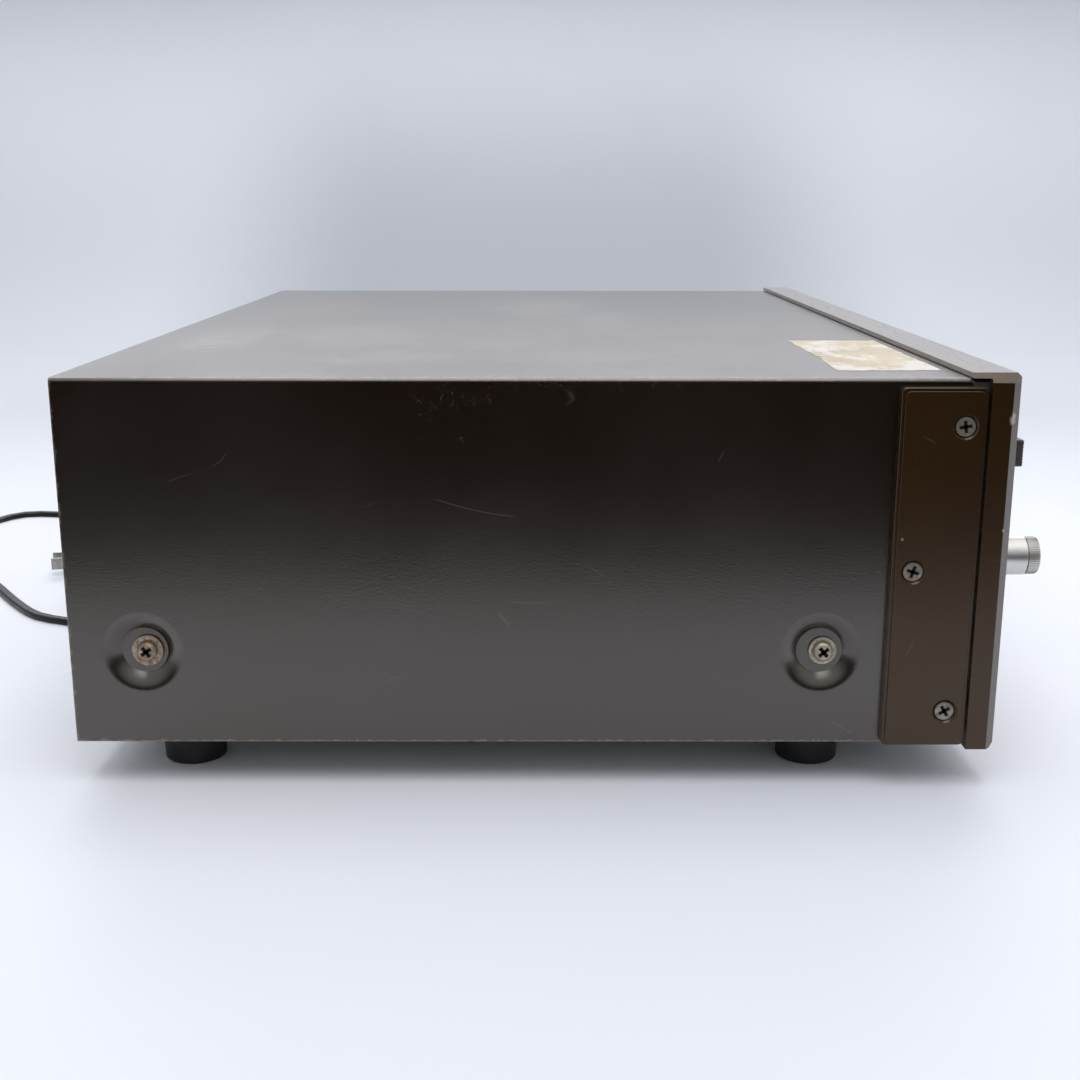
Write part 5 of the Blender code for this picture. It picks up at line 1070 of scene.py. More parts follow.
panel_middle = (panel_low + panel_high) / 2
panel_size = (panel_high - panel_low) / 2
fascia_bronze = bronze("fascia_bronze", panel_size, panel_middle, (0.2, 10.0, 10.0), [
    ((-half_width, depth(0.0015), 0.1255), (0.003, 0.0015, 0.0022), 0.5, 900.0, 0.9),
    ((-half_width + 0.0005, depth(0.0020), 0.0890), (0.002, 0.0006, 0.0006), 0.4, 900.0, 0.9),
], 0.16)
cap_low, cap_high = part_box("left_side_cap")
cap_middle = (cap_low + cap_high) / 2
cap_size = (cap_high - cap_low) / 2
cap_bronze = bronze("cap_bronze", cap_size, cap_middle, (6.0, 6.0, 6.0), [
    ((-half_width, depth(0.0345), 0.0862), (0.003, 0.0006, 0.0006), 0.4, 900.0, 0.6),
], 0.0)

# %% [markdown]
# The side caps are small castings with a rounded rim. Three countersunk screws hold each one.
# The rim is a bevel with many segments, so that its outer turn catches a thin line of light.

# %% Side caps
cap_corner = 0.0018
cap_bevel = 0.0005
cap_rim = 0.0011
cap_step = 0.0006
sink_radius = 0.0040
sink_floor = 0.0022
sink_depth = 0.0020
cap_proud = half_width - cover_half


def bevel_rim(made, direction, width, segments):
    """Rounds only the rim of the face that looks along a direction."""
    mesh = made.data
    weights = mesh.attributes.new("bevel_weight_edge", "FLOAT", "EDGE")
    reach = max(vertex.co.dot(direction) for vertex in mesh.vertices)
    top = [reach - vertex.co.dot(direction) < same_place for vertex in mesh.vertices]
    for rim, weight in zip(mesh.edges, weights.data):
        weight.value = 1.0 if all(top[i] for i in rim.vertices) else 0.0
    bevel = made.modifiers.new("rim", "BEVEL")
    bevel.limit_method = "WEIGHT"
    bevel.width = width
    bevel.segments = segments
    return made


for side, towards in (("left", LEFT), ("right", RIGHT)):
    low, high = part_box(f"{side}_side_cap")
    outline = rectangle(low.y, low.z, high.y, high.z, cap_corner, 8)
    step = rectangle(low.y + cap_rim, low.z + cap_rim, high.y - cap_rim, high.z - cap_rim, cap_corner, 8)
    inner_x = (low.x if side == "right" else high.x)
    rim_x = inner_x + towards.x * (cap_proud - cap_step)
    face_x = inner_x + towards.x * cap_proud
    cap = bevel_rim(plate(f"{side}_cap", "x", min(inner_x, rim_x), max(inner_x, rim_x), [outline]), towards, cap_bevel, 3)
    face = plate(f"{side}_cap_face", "x", min(inner_x, face_x) + 0.0002, max(inner_x, face_x), [step])
    if side == "left":
        face.location.x -= 0.0002
    join(cap, bevel_rim(face, towards, cap_bevel * 0.6, 3))
    countersink = [(0, overrun), (sink_radius + 0.0002, overrun), (sink_radius + 0.0002, 0.0001),
                   (sink_radius, -0.0002), (sink_floor, -sink_depth), (sink_floor, -cap_proud - overrun),
                   (0, -cap_proud - overrun)]
    for number, (at_depth, rise) in enumerate(cap_screws):
        spot = Vector((half_width * towards.x, depth(at_depth), cover_bottom + rise))
        cut(cap, lathe(f"sink_{side}_{number}", countersink, spot, towards, 56))
    keep(f"{side}_cap", cap, cap_bronze, "chassis", (f"{side}_side_cap",), sharp=28)

# %% Cap screws
flush = -0.0003
profile = [(0, flush), (0.0027, flush), (0.0031, flush - 0.0001), (0.0033, flush - 0.0004),
           (0.0015, -sink_depth), (0.0015, -0.0125), (0, -0.0125)]
screw_turns = (0.15, -0.30, 0.55)
for side, towards in (("left", LEFT), ("right", RIGHT)):
    for number, ((at_depth, rise), level) in enumerate(zip(cap_screws, ("upper", "middle", "lower"))):
        spot = Vector((half_width * towards.x, depth(at_depth), cover_bottom + rise))
        head = lathe(f"flat_screw_{side}_{level}", profile, spot, towards, 48)
        # The cross's near-black fill is painted shade.
        cross_shade = cross_cut(head, spot + towards * flush, towards, 0.0024, 0.00062, 0.0015, screw_turns[number])
        keep(f"flat_screw_{side}_{level}", [head, *cross_shade], [cap_screw_metal, black_print_and_shade, black_print_and_shade], "chassis",
             (f"cap_screw_{side}_{level}",))

# %% [markdown]
# The feet are plain black mouldings with a soft shoulder and a hollow for their screw.

# %% Feet
rubber, g, shader = new_material("foot_moulding", 0.0, 0.4)
worn = g.group(grain, Place=g.place(), Scale=1100.0, Drift=90.0)
g.feed(shader["Base Color"], g.mix(worn["Drift"], (0.011, 0.011, 0.012), (0.022, 0.021, 0.021)))
g.feed(shader["Roughness"], g.ramp(worn["Grain"], 0.0, 1.0, 0.50, 0.66))
g.feed(shader["Normal"], g.bump(worn["Grain"], 0.3, 0.0002))
foot_profile = [(0, 0.0150), (0.0112, 0.0150)]
for step in range(7):
    angle = math.pi / 2 * step / 6
    foot_profile.append((0.01115 + 0.0006 * math.sin(angle), 0.0144 + 0.0006 * math.cos(angle)))
foot_profile += [(0.01175, 0.0110), (0.0114, 0.0100), (0.0107, 0.0030)]
for step in range(7):
    angle = math.pi / 2 * step / 6
    foot_profile.append((0.0095 + 0.0012 * math.cos(angle), 0.0012 - 0.0012 * math.sin(angle)))
foot_profile += [(0.0046, 0.0), (0.0045, 0.0001), (0.0045, 0.0060), (0, 0.0060)]
for name in ("front_left", "front_right", "rear_left", "rear_right"):
    low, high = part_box(f"foot_{name}")
    middle = (low + high) / 2
    keep(f"round_foot_{name}", lathe(f"foot_{name}", foot_profile, (middle.x, middle.y, 0), UP, 64), rubber,
         "chassis", (f"foot_{name}",))

# %% [markdown]
# The fascia has a lip over the cover, chamfers on its front rim and wider ones on its
# shoulders. It is drawn as its side profile, given the deck's width, then its ends are cut
# back and the openings for door, display, keys and knobs are cut through the front wall.
# Their outlines come from the boxes of the CAD pieces that pass through them.

# %% Fascia
front_wall = 0.0035
slide = 0.0003
panel_depth = 0.0088
lip_under = cover_top + joint_gap
chamfer = 0.0020
rim_chamfer = 0.0015
shoulder = 0.0030
face_lift = 0.0011
flange_width = 0.0009
pane_flange = 0.0020
key_nodes = ["record_key", "rewind_key", "play_key", "forward_key", "stop_key", "pause_key"]


def front_box(node, inset=0.0):
    """Left, low, right, high of a node seen from the front, drawn in by an inset."""
    low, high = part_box(node)
    return low.x + inset, low.z + inset, high.x - inset, high.z - inset


def middle_of(node):
    low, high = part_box(node)
    return (low.x + high.x) / 2, (low.z + high.z) / 2


profile = [
    (depth(rim_chamfer - face_lift), panel_low.z), (depth(panel_depth), panel_low.z), (depth(panel_depth), lip_under),
    (depth(lip_depth), lip_under), (depth(lip_depth), panel_high.z), (depth(rim_chamfer - face_lift), panel_high.z),
    (depth(-face_lift), panel_high.z - rim_chamfer), (depth(-face_lift), panel_low.z + rim_chamfer),
]
fascia = plate("fascia", "x", -half_width, half_width, [profile])
for side in (-1, 1):
    inside, outside = (half_width - chamfer - face_lift) * side, (half_width + overrun) * side
    corner = [(inside, depth(-overrun)), (inside, depth(-face_lift)), (half_width * side, depth(chamfer)),
              (outside, depth(chamfer)), (outside, depth(-overrun))]
    cut(fascia, plate(f"corner_{side}", "z", panel_low.z - overrun, panel_high.z + overrun, [corner]))
    inside = (half_width - shoulder) * side
    wedge = [(inside, panel_high.z), (half_width * side, panel_high.z - shoulder),
             (outside, panel_high.z - shoulder), (outside, panel_high.z + overrun), (inside, panel_high.z + overrun)]
    cut(fascia, plate(f"shoulder_{side}", "y", depth(-overrun), depth(lip_depth + overrun), [wedge]))
cut(fascia, block("fascia_hollow", (-half_width + 0.0030, depth(front_wall), panel_low.z + 0.0020),
                  (half_width - 0.0030, depth(panel_depth + overrun), lip_under - joint_gap * 2)))
door_low, door_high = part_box("cassette_door")
door_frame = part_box("cassette_holder")
door_x = (door_low.x + door_high.x) / 2
door_half = 0.0650
door_gap = 0.0009
power_low, power_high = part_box("power_button")
output_x, output_z = middle_of("output_knob")
record_x, record_z = middle_of("record_knob_right")
reset_x, reset_z = middle_of("counter_reset")
switch_x, switch_z = middle_of("tape_switch")
jacks_low, jacks_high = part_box("front_jacks")
socket_z = (jacks_low.z + jacks_high.z) / 2
socket_places = [record_x + step * 0.0250 for step in (-1, 0, 1)]
socket_collar = 0.0055
display = front_box("display_window", pane_flange)
openings = [
    rectangle(door_x - door_half - door_gap, door_low.z - door_gap, door_x + door_half + door_gap, door_high.z + door_gap),
    rectangle(*display, 0.0015),
    rectangle(*front_box("power_button", flange_width - slide)),
    rectangle(switch_x - 0.0018, switch_z - 0.0045, switch_x + 0.0018, switch_z + 0.0045),
    circle(output_x, output_z, 0.0033),
    circle(record_x, record_z, 0.0063),
    circle(reset_x, reset_z, 0.0038),
]
openings += [rectangle(*front_box(node, flange_width - slide)) for node in key_nodes]
openings += [circle(x, socket_z, socket_collar + 0.0003) for x in socket_places]
for number, outline in enumerate(openings):
    cut(fascia, plate(f"opening_{number}", "y", depth(-overrun), depth(front_wall + 0.001), [outline]))
soften(fascia, 0.00025, 2, 30)
keep("fascia", fascia, fascia_bronze, "chassis", ("front_panel",), sharp=50)
print("openings in the fascia", len(openings))

# %% [markdown]
# The only controls that the photograph shows are a small square button with fine ribs on its
# face and a bright turned knob. The knob has a groove near its end and a knurled tip. Its
# brushing runs round the axis, so its noise is squeezed along the axis.

# %% Power button
moulding, g, shader = new_material("brown_moulding", 0.0, 0.6)
worn = g.group(grain, Place=g.place(), Scale=1300.0, Drift=60.0)
g.feed(shader["Base Color"], g.mix(worn["Drift"], (0.048, 0.036, 0.029), (0.062, 0.048, 0.040)))
g.feed(shader["Roughness"], g.ramp(worn["Grain"], 0.0, 1.0, 0.36, 0.48))
g.feed(shader["Normal"], g.bump(worn["Grain"], 0.25, 0.0002))
button = soften(block("button", (power_low.x + flange_width, power_low.y, power_low.z + flange_width),
                      (power_high.x - flange_width, power_high.y, power_high.z - flange_width)), 0.0007, 3)
rib_pitch = 0.0010
rib_total = int((power_high.z - power_low.z - 2 * flange_width) / rib_pitch)
for number in range(1, rib_total):
    z = power_low.z + flange_width + number * rib_pitch
    cut(button, block(f"rib_gap_{number}", (power_low.x, power_low.y - overrun, z - 0.00022),
                      (power_high.x, power_low.y + 0.0004, z + 0.00022)))
button_flange = soften(block("button_flange", (power_low.x, depth(front_wall + slide), power_low.z),
                             (power_high.x, depth(front_wall + slide + 0.0020), power_high.z)), 0.0003, 2)
keep("ribbed_button", [button, button_flange], moulding, "power", ("power_button",))

# %% Output knob
def turned_metal(name, axis_place, colour_low, colour_high, rough_low, rough_high):
    """Turned aluminium: fine rings that follow the distance along and from the axis."""
    made, g, shader = new_material(name, 1.0, 0.5)
    place = g.vector("SUBTRACT", g.place(), axis_place)
    axes = g.axes(place)
    reach = g.math("SQRT", g.math("ADD", g.math("POWER", axes[0], 2.0), g.math("POWER", axes[2], 2.0)))
    spot = g.put("ShaderNodeCombineXYZ")
    g.feed(spot.inputs[0], reach)
    g.feed(spot.inputs[1], axes[1])
    rings = g.noise(spot.outputs[0], 5200.0, 1.0, 0.5)
    worn = g.group(grain, Place=place, Scale=900.0, Drift=120.0)
    g.feed(shader["Base Color"], g.mix(worn["Drift"], colour_low, colour_high))
    g.feed(shader["Roughness"], g.ramp(rings, 0.3, 0.7, rough_low, rough_high))
    g.feed(shader["Normal"], g.bump(rings, 0.05, 0.00002))
    return made


knob_low, knob_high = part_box("output_knob")
bright_metal = turned_metal("knob_metal", (output_x, 0, output_z), (0.60, 0.585, 0.56), (0.68, 0.665, 0.64), 0.33, 0.38)
knob_radius = (knob_high.x - knob_low.x) / 2
knob_proud = front_y - knob_low.y
knob_groove = 0.0120


def knurl(name, radius, low, high, place, towards, teeth, sunk, crown):
    """A ring of small straight teeth, rounded off at its outer end."""
    steps = teeth * 4
    heights = [(high, radius - crown - sunk, 0.0), (high, radius - crown, 0.3), (high - crown * 0.3, radius - crown * 0.3, 0.8),
               (high - crown, radius, 1.0), (low, radius, 1.0)]
    shape = bmesh.new()
    rings = []
    for height, reach, depth_share in heights:
        ring = []
        for step in range(steps):
            angle = 2 * math.pi * step / steps
            dip = sunk * depth_share if step % 4 in (0, 3) else 0.0
            ring.append(shape.verts.new(((reach - dip) * math.cos(angle), (reach - dip) * math.sin(angle), height)))
        rings.append(ring)
    for above, below in zip(rings, rings[1:]):
        for step in range(steps):
            after = (step + 1) % steps
            shape.faces.new((above[step], below[step], below[after], above[after]))
    shape.faces.new(rings[0][::-1])
    shape.faces.new(rings[-1])
    turn = Vector(towards).to_track_quat("Z", "Y").to_matrix().to_4x4()
    bmesh.ops.transform(shape, matrix=Matrix.Translation(Vector(place)) @ turn, verts=shape.verts)
    bmesh.ops.recalc_face_normals(shape, faces=shape.faces)
    mesh = bpy.data.meshes.new(name)
    shape.to_mesh(mesh)
    shape.free()
    return draft(name, mesh)


knob_place = (output_x, depth(0), output_z)
profile = [(0, knob_groove + 0.0004), (knob_radius - 0.0012, knob_groove + 0.0004), (knob_radius - 0.0012, knob_groove),
           (knob_radius - 0.0003, knob_groove), (knob_radius, knob_groove - 0.0003), (knob_radius, 0.0016),
           (knob_radius - 0.0003, 0.0012), (knob_radius - 0.0006, 0.0008), (0.0030, 0.0008), (0.0030, -0.0113), (0, -0.0113)]
shank = lathe("knob_shank", profile, knob_place, FRONT, 96)
tip = knurl("knob_tip", knob_radius - 0.0002, knob_groove + 0.0003, knob_proud, knob_place, FRONT, 60, 0.00034, 0.0009)
keep("turned_knob", [shank, tip], bright_metal, "output_level", ("output_knob",), sharp=40)

# %% [markdown]
# A paper label was once stuck on the cover's top, near the front. Only its torn lower layer is
# left, bare of any print. It is a thin sheet with a ragged outline: the straight edges are
# divided into short steps, and each step is drawn in by a small random amount.

# %% Torn label
paper_thickness = 0.00012
label_corners = [(-0.0928, 0.0526), (-0.0926, 0.0182), (-0.1906, 0.0182), (-0.1922, 0.0533),
                 (-0.1530, 0.0520), (-0.1508, 0.0500), (-0.1490, 0.0522)]
chance = random.Random(7)
outline = []
label_middle = Vector((-0.1420, 0.0355))
for (x, y), (next_x, next_y) in zip(label_corners, label_corners[1:] + label_corners[:1]):
    start, end = Vector((x, y)), Vector((next_x, next_y))
    steps = max(2, int((end - start).length / 0.0014))
    for step in range(steps):
        spot = start.lerp(end, step / steps)
        torn = chance.random() ** 3 * 0.0012
        spot = spot + (label_middle - spot).normalized() * torn
        outline.append((spot.x, depth(spot.y)))
label_paper, g, shader = new_material("label_paper", 0.0, 0.3)
place = g.place()
worn = g.group(grain, Place=place, Scale=800.0, Drift=40.0)
patches = g.ramp(g.noise(g.stretch(place, (1.0, 1.6, 1.0)), 38.0, 5.0, 0.65), 0.47, 0.58)
brown = g.ramp(g.noise(place, 190.0, 5.0, 0.7), 0.58, 0.72)
colour = g.mix(worn["Drift"], (0.47, 0.40, 0.29), (0.56, 0.49, 0.38))
colour = g.mix(patches, colour, (0.64, 0.62, 0.59))
colour = g.mix(g.math("MULTIPLY", brown, 0.75), colour, (0.24, 0.165, 0.09))
g.feed(shader["Base Color"], colour)
g.feed(shader["Roughness"], g.ramp(patches, 0.0, 1.0, 0.72, 0.88))
g.feed(shader["Normal"], g.bump(g.math("ADD", patches, worn["Grain"]), 0.4, 0.00012))
keep("torn_label", plate("torn_label", "z", cover_top - 0.00002, cover_top + paper_thickness, [outline]),
     label_paper, "chassis", weighted=False)

# %% [markdown]
# The controls on the front face can't be seen in the photograph. They follow what such decks
# have: six transport keys with the usual signs, a stacked record level knob, a small lever, a
# reset button and three sockets. The signs are thin inlays in the key's face.

# %% Signs on the keys
white_ink, g, shader = new_material("white_ink", 0.0, 0.4)
worn = g.group(grain, Place=g.place(), Scale=2200.0, Drift=500.0)
g.feed(shader["Base Color"], g.mix(worn["Grain"], (0.62, 0.60, 0.56), (0.74, 0.72, 0.68)))
g.feed(shader["Roughness"], g.ramp(worn["Drift"], 0.0, 1.0, 0.45, 0.60))
red_ink, g, shader = new_material("red_ink", 0.0, 0.4)
worn = g.group(grain, Place=g.place(), Scale=2200.0, Drift=500.0)
g.feed(shader["Base Color"], g.mix(worn["Grain"], (0.50, 0.045, 0.030), (0.60, 0.070, 0.045)))
g.feed(shader["Roughness"], g.ramp(worn["Drift"], 0.0, 1.0, 0.40, 0.55))
sign = 0.0019


def triangle(x, z, half, way):
    return [(x - way * half * 0.8, z - half), (x + way * half * 0.8, z), (x - way * half * 0.8, z + half)][::way]


def key_signs(kind, x, z):
    """Outlines of the usual transport signs, drawn in the plane of the front."""
    if kind == "record_key":
        return [circle(x, z, sign, 32)]
    if kind == "rewind_key":
        return [triangle(x - sign * 0.8, z, sign, -1), triangle(x + sign * 0.8, z, sign, -1)]
    if kind == "play_key":
        return [triangle(x, z, sign * 1.1, 1)]
    if kind == "forward_key":
        return [triangle(x - sign * 0.8, z, sign, 1), triangle(x + sign * 0.8, z, sign, 1)]
    if kind == "stop_key":
        return [rectangle(x - sign * 0.9, z - sign * 0.9, x + sign * 0.9, z + sign * 0.9)]
    bars = (-sign * 0.6, sign * 0.6)
    return [rectangle(x + bar - sign * 0.3, z - sign, x + bar + sign * 0.3, z + sign) for bar in bars]


# %% Transport keys
inlay = 0.00005
flange_thickness = 0.0020
for node in key_nodes:
    low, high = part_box(node)
    key_x, key_z = middle_of(node)
    key = soften(block("key", (low.x + flange_width, low.y, low.z + flange_width),
                       (high.x - flange_width, depth(front_wall + slide + flange_thickness / 2), high.z - flange_width)),
                 0.0009, 4)
    groove = block("key_groove", (low.x, low.y - overrun, key_z - 0.0042), (high.x, low.y + 0.0003, key_z - 0.0038))
    cut(key, groove)
    flange = block("key_flange", (low.x, depth(front_wall + slide), low.z),
                   (high.x, depth(front_wall + slide + flange_thickness), high.z))
    outlines = key_signs(node, key_x, key_z + 0.0010)
    signs = [plate(f"sign_{number}", "y", low.y - inlay, low.y + 0.0004, [outline])
             for number, outline in enumerate(outlines)]
    ink = red_ink if node == "record_key" else white_ink
    keep(node.replace("_key", "_push_key"), [key, flange, *signs], [moulding, moulding] + [ink] * len(signs),
         node[:-4], (node,))

# %% Record level knobs
record_metal = turned_metal("record_knob_metal", (record_x, 0, record_z), (0.54, 0.53, 0.50), (0.66, 0.65, 0.62), 0.20, 0.34)
record_place = Vector((record_x, depth(0), record_z))
outer_low, outer_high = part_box("record_knob_right")
inner_low, inner_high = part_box("record_knob_left")
outer_radius = (outer_high.x - outer_low.x) / 2
inner_radius = (inner_high.x - inner_low.x) / 2
outer_proud = front_y - outer_low.y
inner_proud = front_y - inner_low.y
skirt = [(0.0034, 0.0034), (outer_radius - 0.0015, 0.0034), (outer_radius - 0.0005, 0.0026), (outer_radius, 0.0014),
         (outer_radius, 0.0008), (0.0058, 0.0008), (0.0058, -0.0112), (0.0034, -0.0112), (0.0034, 0.0034)]
grip = knurl("outer_grip", outer_radius - 0.0016, 0.0032, outer_proud, record_place, FRONT, 96, 0.00040, 0.0011)
face = record_place + FRONT * outer_proud
mark = block("outer_mark", face + Vector((-0.0004, -inlay, 0.0150)), face + Vector((0.0004, 0.0003, 0.0190)))
keep("record_knob_outer", [lathe("outer_skirt", skirt, record_place, FRONT, 96), grip, mark],
     [record_metal, record_metal, black_print_and_shade], "record_level_right", ("record_knob_right",))
spindle = [(0, outer_proud + 0.0010), (inner_radius - 0.0006, outer_proud + 0.0010), (inner_radius, outer_proud + 0.0006),
           (inner_radius, outer_proud + 0.0003), (0.0030, outer_proud + 0.0003), (0.0030, -0.0113), (0, -0.0113)]
grip = knurl("inner_grip", inner_radius - 0.0004, outer_proud + 0.0009, inner_proud, record_place, FRONT, 64, 0.00036, 0.0009)
face = record_place + FRONT * inner_proud
mark = block("inner_mark", face + Vector((-0.0004, -inlay, 0.0040)), face + Vector((0.0004, 0.0003, 0.0108)))
keep("record_knob_inner", [lathe("inner_spindle", spindle, record_place, FRONT, 96), grip, mark],
     [record_metal, record_metal, black_print_and_shade], "record_level_left", ("record_knob_left",))

# %% Front sockets
black, g, shader = new_material("black_moulding", 0.0, 0.5)
worn = g.group(grain, Place=g.place(), Scale=1500.0, Drift=80.0)
g.feed(shader["Base Color"], g.mix(worn["Drift"], (0.012, 0.012, 0.012), (0.021, 0.020, 0.020)))
g.feed(shader["Roughness"], g.ramp(worn["Grain"], 0.0, 1.0, 0.42, 0.56))
g.feed(shader["Normal"], g.bump(worn["Grain"], 0.25, 0.0002))
nickel, g, shader = new_material("nickel", 1.0, 0.5)
worn = g.group(grain, Place=g.place(), Scale=1200.0, Drift=200.0)
g.feed(shader["Base Color"], g.mix(worn["Drift"], (0.52, 0.50, 0.46), (0.66, 0.64, 0.60)))
g.feed(shader["Roughness"], g.ramp(worn["Grain"], 0.0, 1.0, 0.18, 0.30))
socket_bore = 0.00325
block_front = 0.0062
sockets = soften(block("socket_block", (jacks_low.x, depth(block_front), jacks_low.z), jacks_high), 0.0005, 2)
collars = []
for number, x in enumerate(socket_places):
    place = (x, depth(0), socket_z)
    cut(sockets, rod(f"socket_bore_{number}", socket_bore + 0.0002, -0.0255, 0.0, place, FRONT, 40))
    ring = [(socket_bore, 0.0012), (socket_bore + 0.0004, 0.0016), (socket_collar - 0.0004, 0.0016),
            (socket_collar, 0.0012), (socket_collar, -block_front), (socket_bore, -block_front), (socket_bore, 0.0012)]
    collars.append(lathe(f"socket_collar_{number}", ring, place, FRONT, 64))
keep("front_sockets", [sockets, *collars], [black] + [nickel] * 3, "chassis", ("front_jacks",))

# %% [markdown]
# The cassette door is a moulded frame with a hollow back and a rounded lower edge. Its side
# profile is drawn once and given its width, then the hollow and the window are cut.

# %% Door frame
hinge_radius = 0.0012
door_wall = 0.0030
rounding = 0.0065
window_low, window_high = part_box("door_window")
pane_edge = 0.0030
profile = [(door_high.y, door_low.z), (door_high.y, door_high.z), (door_low.y, door_high.z)]
for step in range(13):
    angle = math.pi / 2 * step / 12
    profile.append((door_low.y + rounding - rounding * math.cos(angle), door_low.z + rounding - rounding * math.sin(angle)))
door = plate("door", "x", door_x - door_half, door_x + door_half, [profile])
soften(door, 0.0006, 3, 50)
cut(door, block("door_hollow", (door_x - door_half + door_wall, door_low.y + door_wall, door_low.z + 0.0075),
                (door_x + door_half - door_wall, door_high.y + overrun, door_high.z - door_wall)))
opening = rectangle(window_low.x + pane_edge, window_low.z + pane_edge, window_high.x - pane_edge, window_high.z - pane_edge,
                    0.0020, 8)
cut(door, plate("window_opening", "y", door_low.y - overrun, door_low.y + door_wall + 0.001, [opening]))
hinge_y = depth(0.0078)
hinge_z = 0.0370
pins = [rod(f"hinge_pin_{side}", hinge_radius, -0.0015, 0.0026, (door_x + door_half * towards.x, hinge_y, hinge_z), towards)
        for side, towards in (("left", LEFT), ("right", RIGHT))]
keep("door_frame", [door, *pins], [fascia_bronze, nickel, nickel], "door", ("cassette_door",))

# %% [markdown]
# Behind the display pane lie two meter dials and the counter. Each dial is a pale card with an
# arc and tick marks, thin enough to clear its needle. The counter's wheels carry figures built
# of straight strokes, each stroke set square to the wheel's rim.

# %% Meter dials
card, g, shader = new_material("dial_card", 0.0, 0.3)
worn = g.group(grain, Place=g.place(), Scale=700.0, Drift=45.0)
g.feed(shader["Base Color"], g.mix(worn["Drift"], (0.66, 0.60, 0.46), (0.74, 0.69, 0.56)))
g.feed(shader["Roughness"], g.ramp(worn["Grain"], 0.0, 1.0, 0.55, 0.70))
dial_floor = depth(0.0150)
card_front = dial_floor - 0.00016
print_front = dial_floor - 0.00021
pivot_z = 0.0925
arc_radius = 0.0208
cards, prints, warnings = [], [], []
for number, pivot_x in enumerate((0.04103, 0.09003)):
    dial = plate(f"card_{number}", "y", card_front, dial_floor - 0.00002, [
        rectangle(pivot_x - 0.0215, 0.0880, pivot_x + 0.0215, 0.1198, 0.0010), circle(pivot_x, pivot_z, 0.0013, 24)])
    cards.append(dial)

    def sector(start, end, inner, outer, steps=16):
        angles = [math.radians(start + (end - start) * s / steps) for s in range(steps + 1)]
        points = [(pivot_x + outer * math.sin(a), pivot_z + outer * math.cos(a)) for a in angles]
        return points + [(pivot_x + inner * math.sin(a), pivot_z + inner * math.cos(a)) for a in reversed(angles)]

    lines = [sector(-45, 18, arc_radius, arc_radius + 0.0003)]
    lines += [sector(a - 0.35, a + 0.35, arc_radius, arc_radius + 0.0020, 2) for a in range(-45, 19, 9)]
    for at, line in enumerate(lines):
        prints.append(plate(f"print_{number}_{at}", "y", print_front, card_front + 0.00003, [line]))
    warnings.append(plate(f"warning_{number}", "y", print_front, card_front + 0.00003,
                          [sector(20, 45, arc_radius, arc_radius + 0.0016)]))
keep("dial_cards", [*cards, *prints, *warnings], [card] * 2 + [black_print_and_shade] * len(prints) + [red_ink] * 2, "chassis",
     weighted=False)

# %% Counter wheels
wheels_low, wheels_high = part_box("counter_wheels")
wheel_radius = (wheels_high.z - wheels_low.z) / 2
wheel_middle = (wheels_low + wheels_high) / 2
axle_half = (wheels_high.x - wheels_low.x) / 2
wheel_width = 0.0075
digit_half_width = 0.0017
digit_half_height = 0.0024
stroke = 0.00028
strokes = {
    "top": ((-1, 1), (1, 1)), "middle": ((-1, 0), (1, 0)), "bottom": ((-1, -1), (1, -1)),
    "upper left": ((-1, 0), (-1, 1)), "lower left": ((-1, -1), (-1, 0)),
    "upper right": ((1, 0), (1, 1)), "lower right": ((1, -1), (1, 0)),
}
figures = ["top bottom upper-left lower-left upper-right lower-right", "upper-right lower-right",
           "top upper-right middle lower-left bottom", "top upper-right middle lower-right bottom",
           "upper-left middle upper-right lower-right", "top upper-left middle lower-right bottom",
           "top upper-left lower-left middle lower-right bottom", "top upper-right lower-right",
           "top middle bottom upper-left lower-left upper-right lower-right",
           "top upper-left upper-right middle lower-right bottom"]
profile = [(0, axle_half), (0.0012, axle_half)]
for wheel in range(3):
    top = wheel_width * (1.5 - wheel)
    profile += [(0.0012, top), (wheel_radius - 0.0008, top - 0.0001), (wheel_radius, top - 0.0006),
                (wheel_radius, top - wheel_width + 0.0006), (wheel_radius - 0.0008, top - wheel_width + 0.0001)]
profile += [(0.0012, -wheel_width * 1.5), (0.0012, -axle_half), (0, -axle_half)]
drum = lathe("drum", profile, wheel_middle, RIGHT, 80)
ink_strokes = []
for wheel in range(3):
    wheel_x = wheel_middle.x + wheel_width * (wheel - 1)
    for figure, parts in enumerate(figures):
        for part in parts.split():
            (u, v), (end_u, end_v) = strokes[part.replace("-", " ")]
            centre_u = (u + end_u) / 2 * digit_half_width
            centre_v = (v + end_v) / 2 * digit_half_height
            half_u = abs(end_u - u) / 2 * digit_half_width + stroke
            half_v = abs(end_v - v) / 2 * digit_half_height + stroke
            bar = block(f"stroke_{wheel}_{figure}_{part}", (-half_u, -wheel_radius - inlay, -half_v),
                        (half_u, -wheel_radius + 0.0003, half_v))
            turn = math.radians(36 * figure) - centre_v / wheel_radius
            bar.matrix_world = Matrix.Translation((wheel_x + centre_u, wheel_middle.y, wheel_middle.z)) \
                @ Matrix.Rotation(turn, 4, "X")
            ink_strokes.append(bar)
keep("number_wheels", [drum, *ink_strokes], [black] + [white_ink] * len(ink_strokes), "counter",
     ("counter_wheels",), weighted=False)
print("strokes on the wheels", len(ink_strokes))

# %% [markdown]
# At the rear the line sockets have nickel sleeves and coloured insulators, white for the left
# channel and red for the right, as is usual.

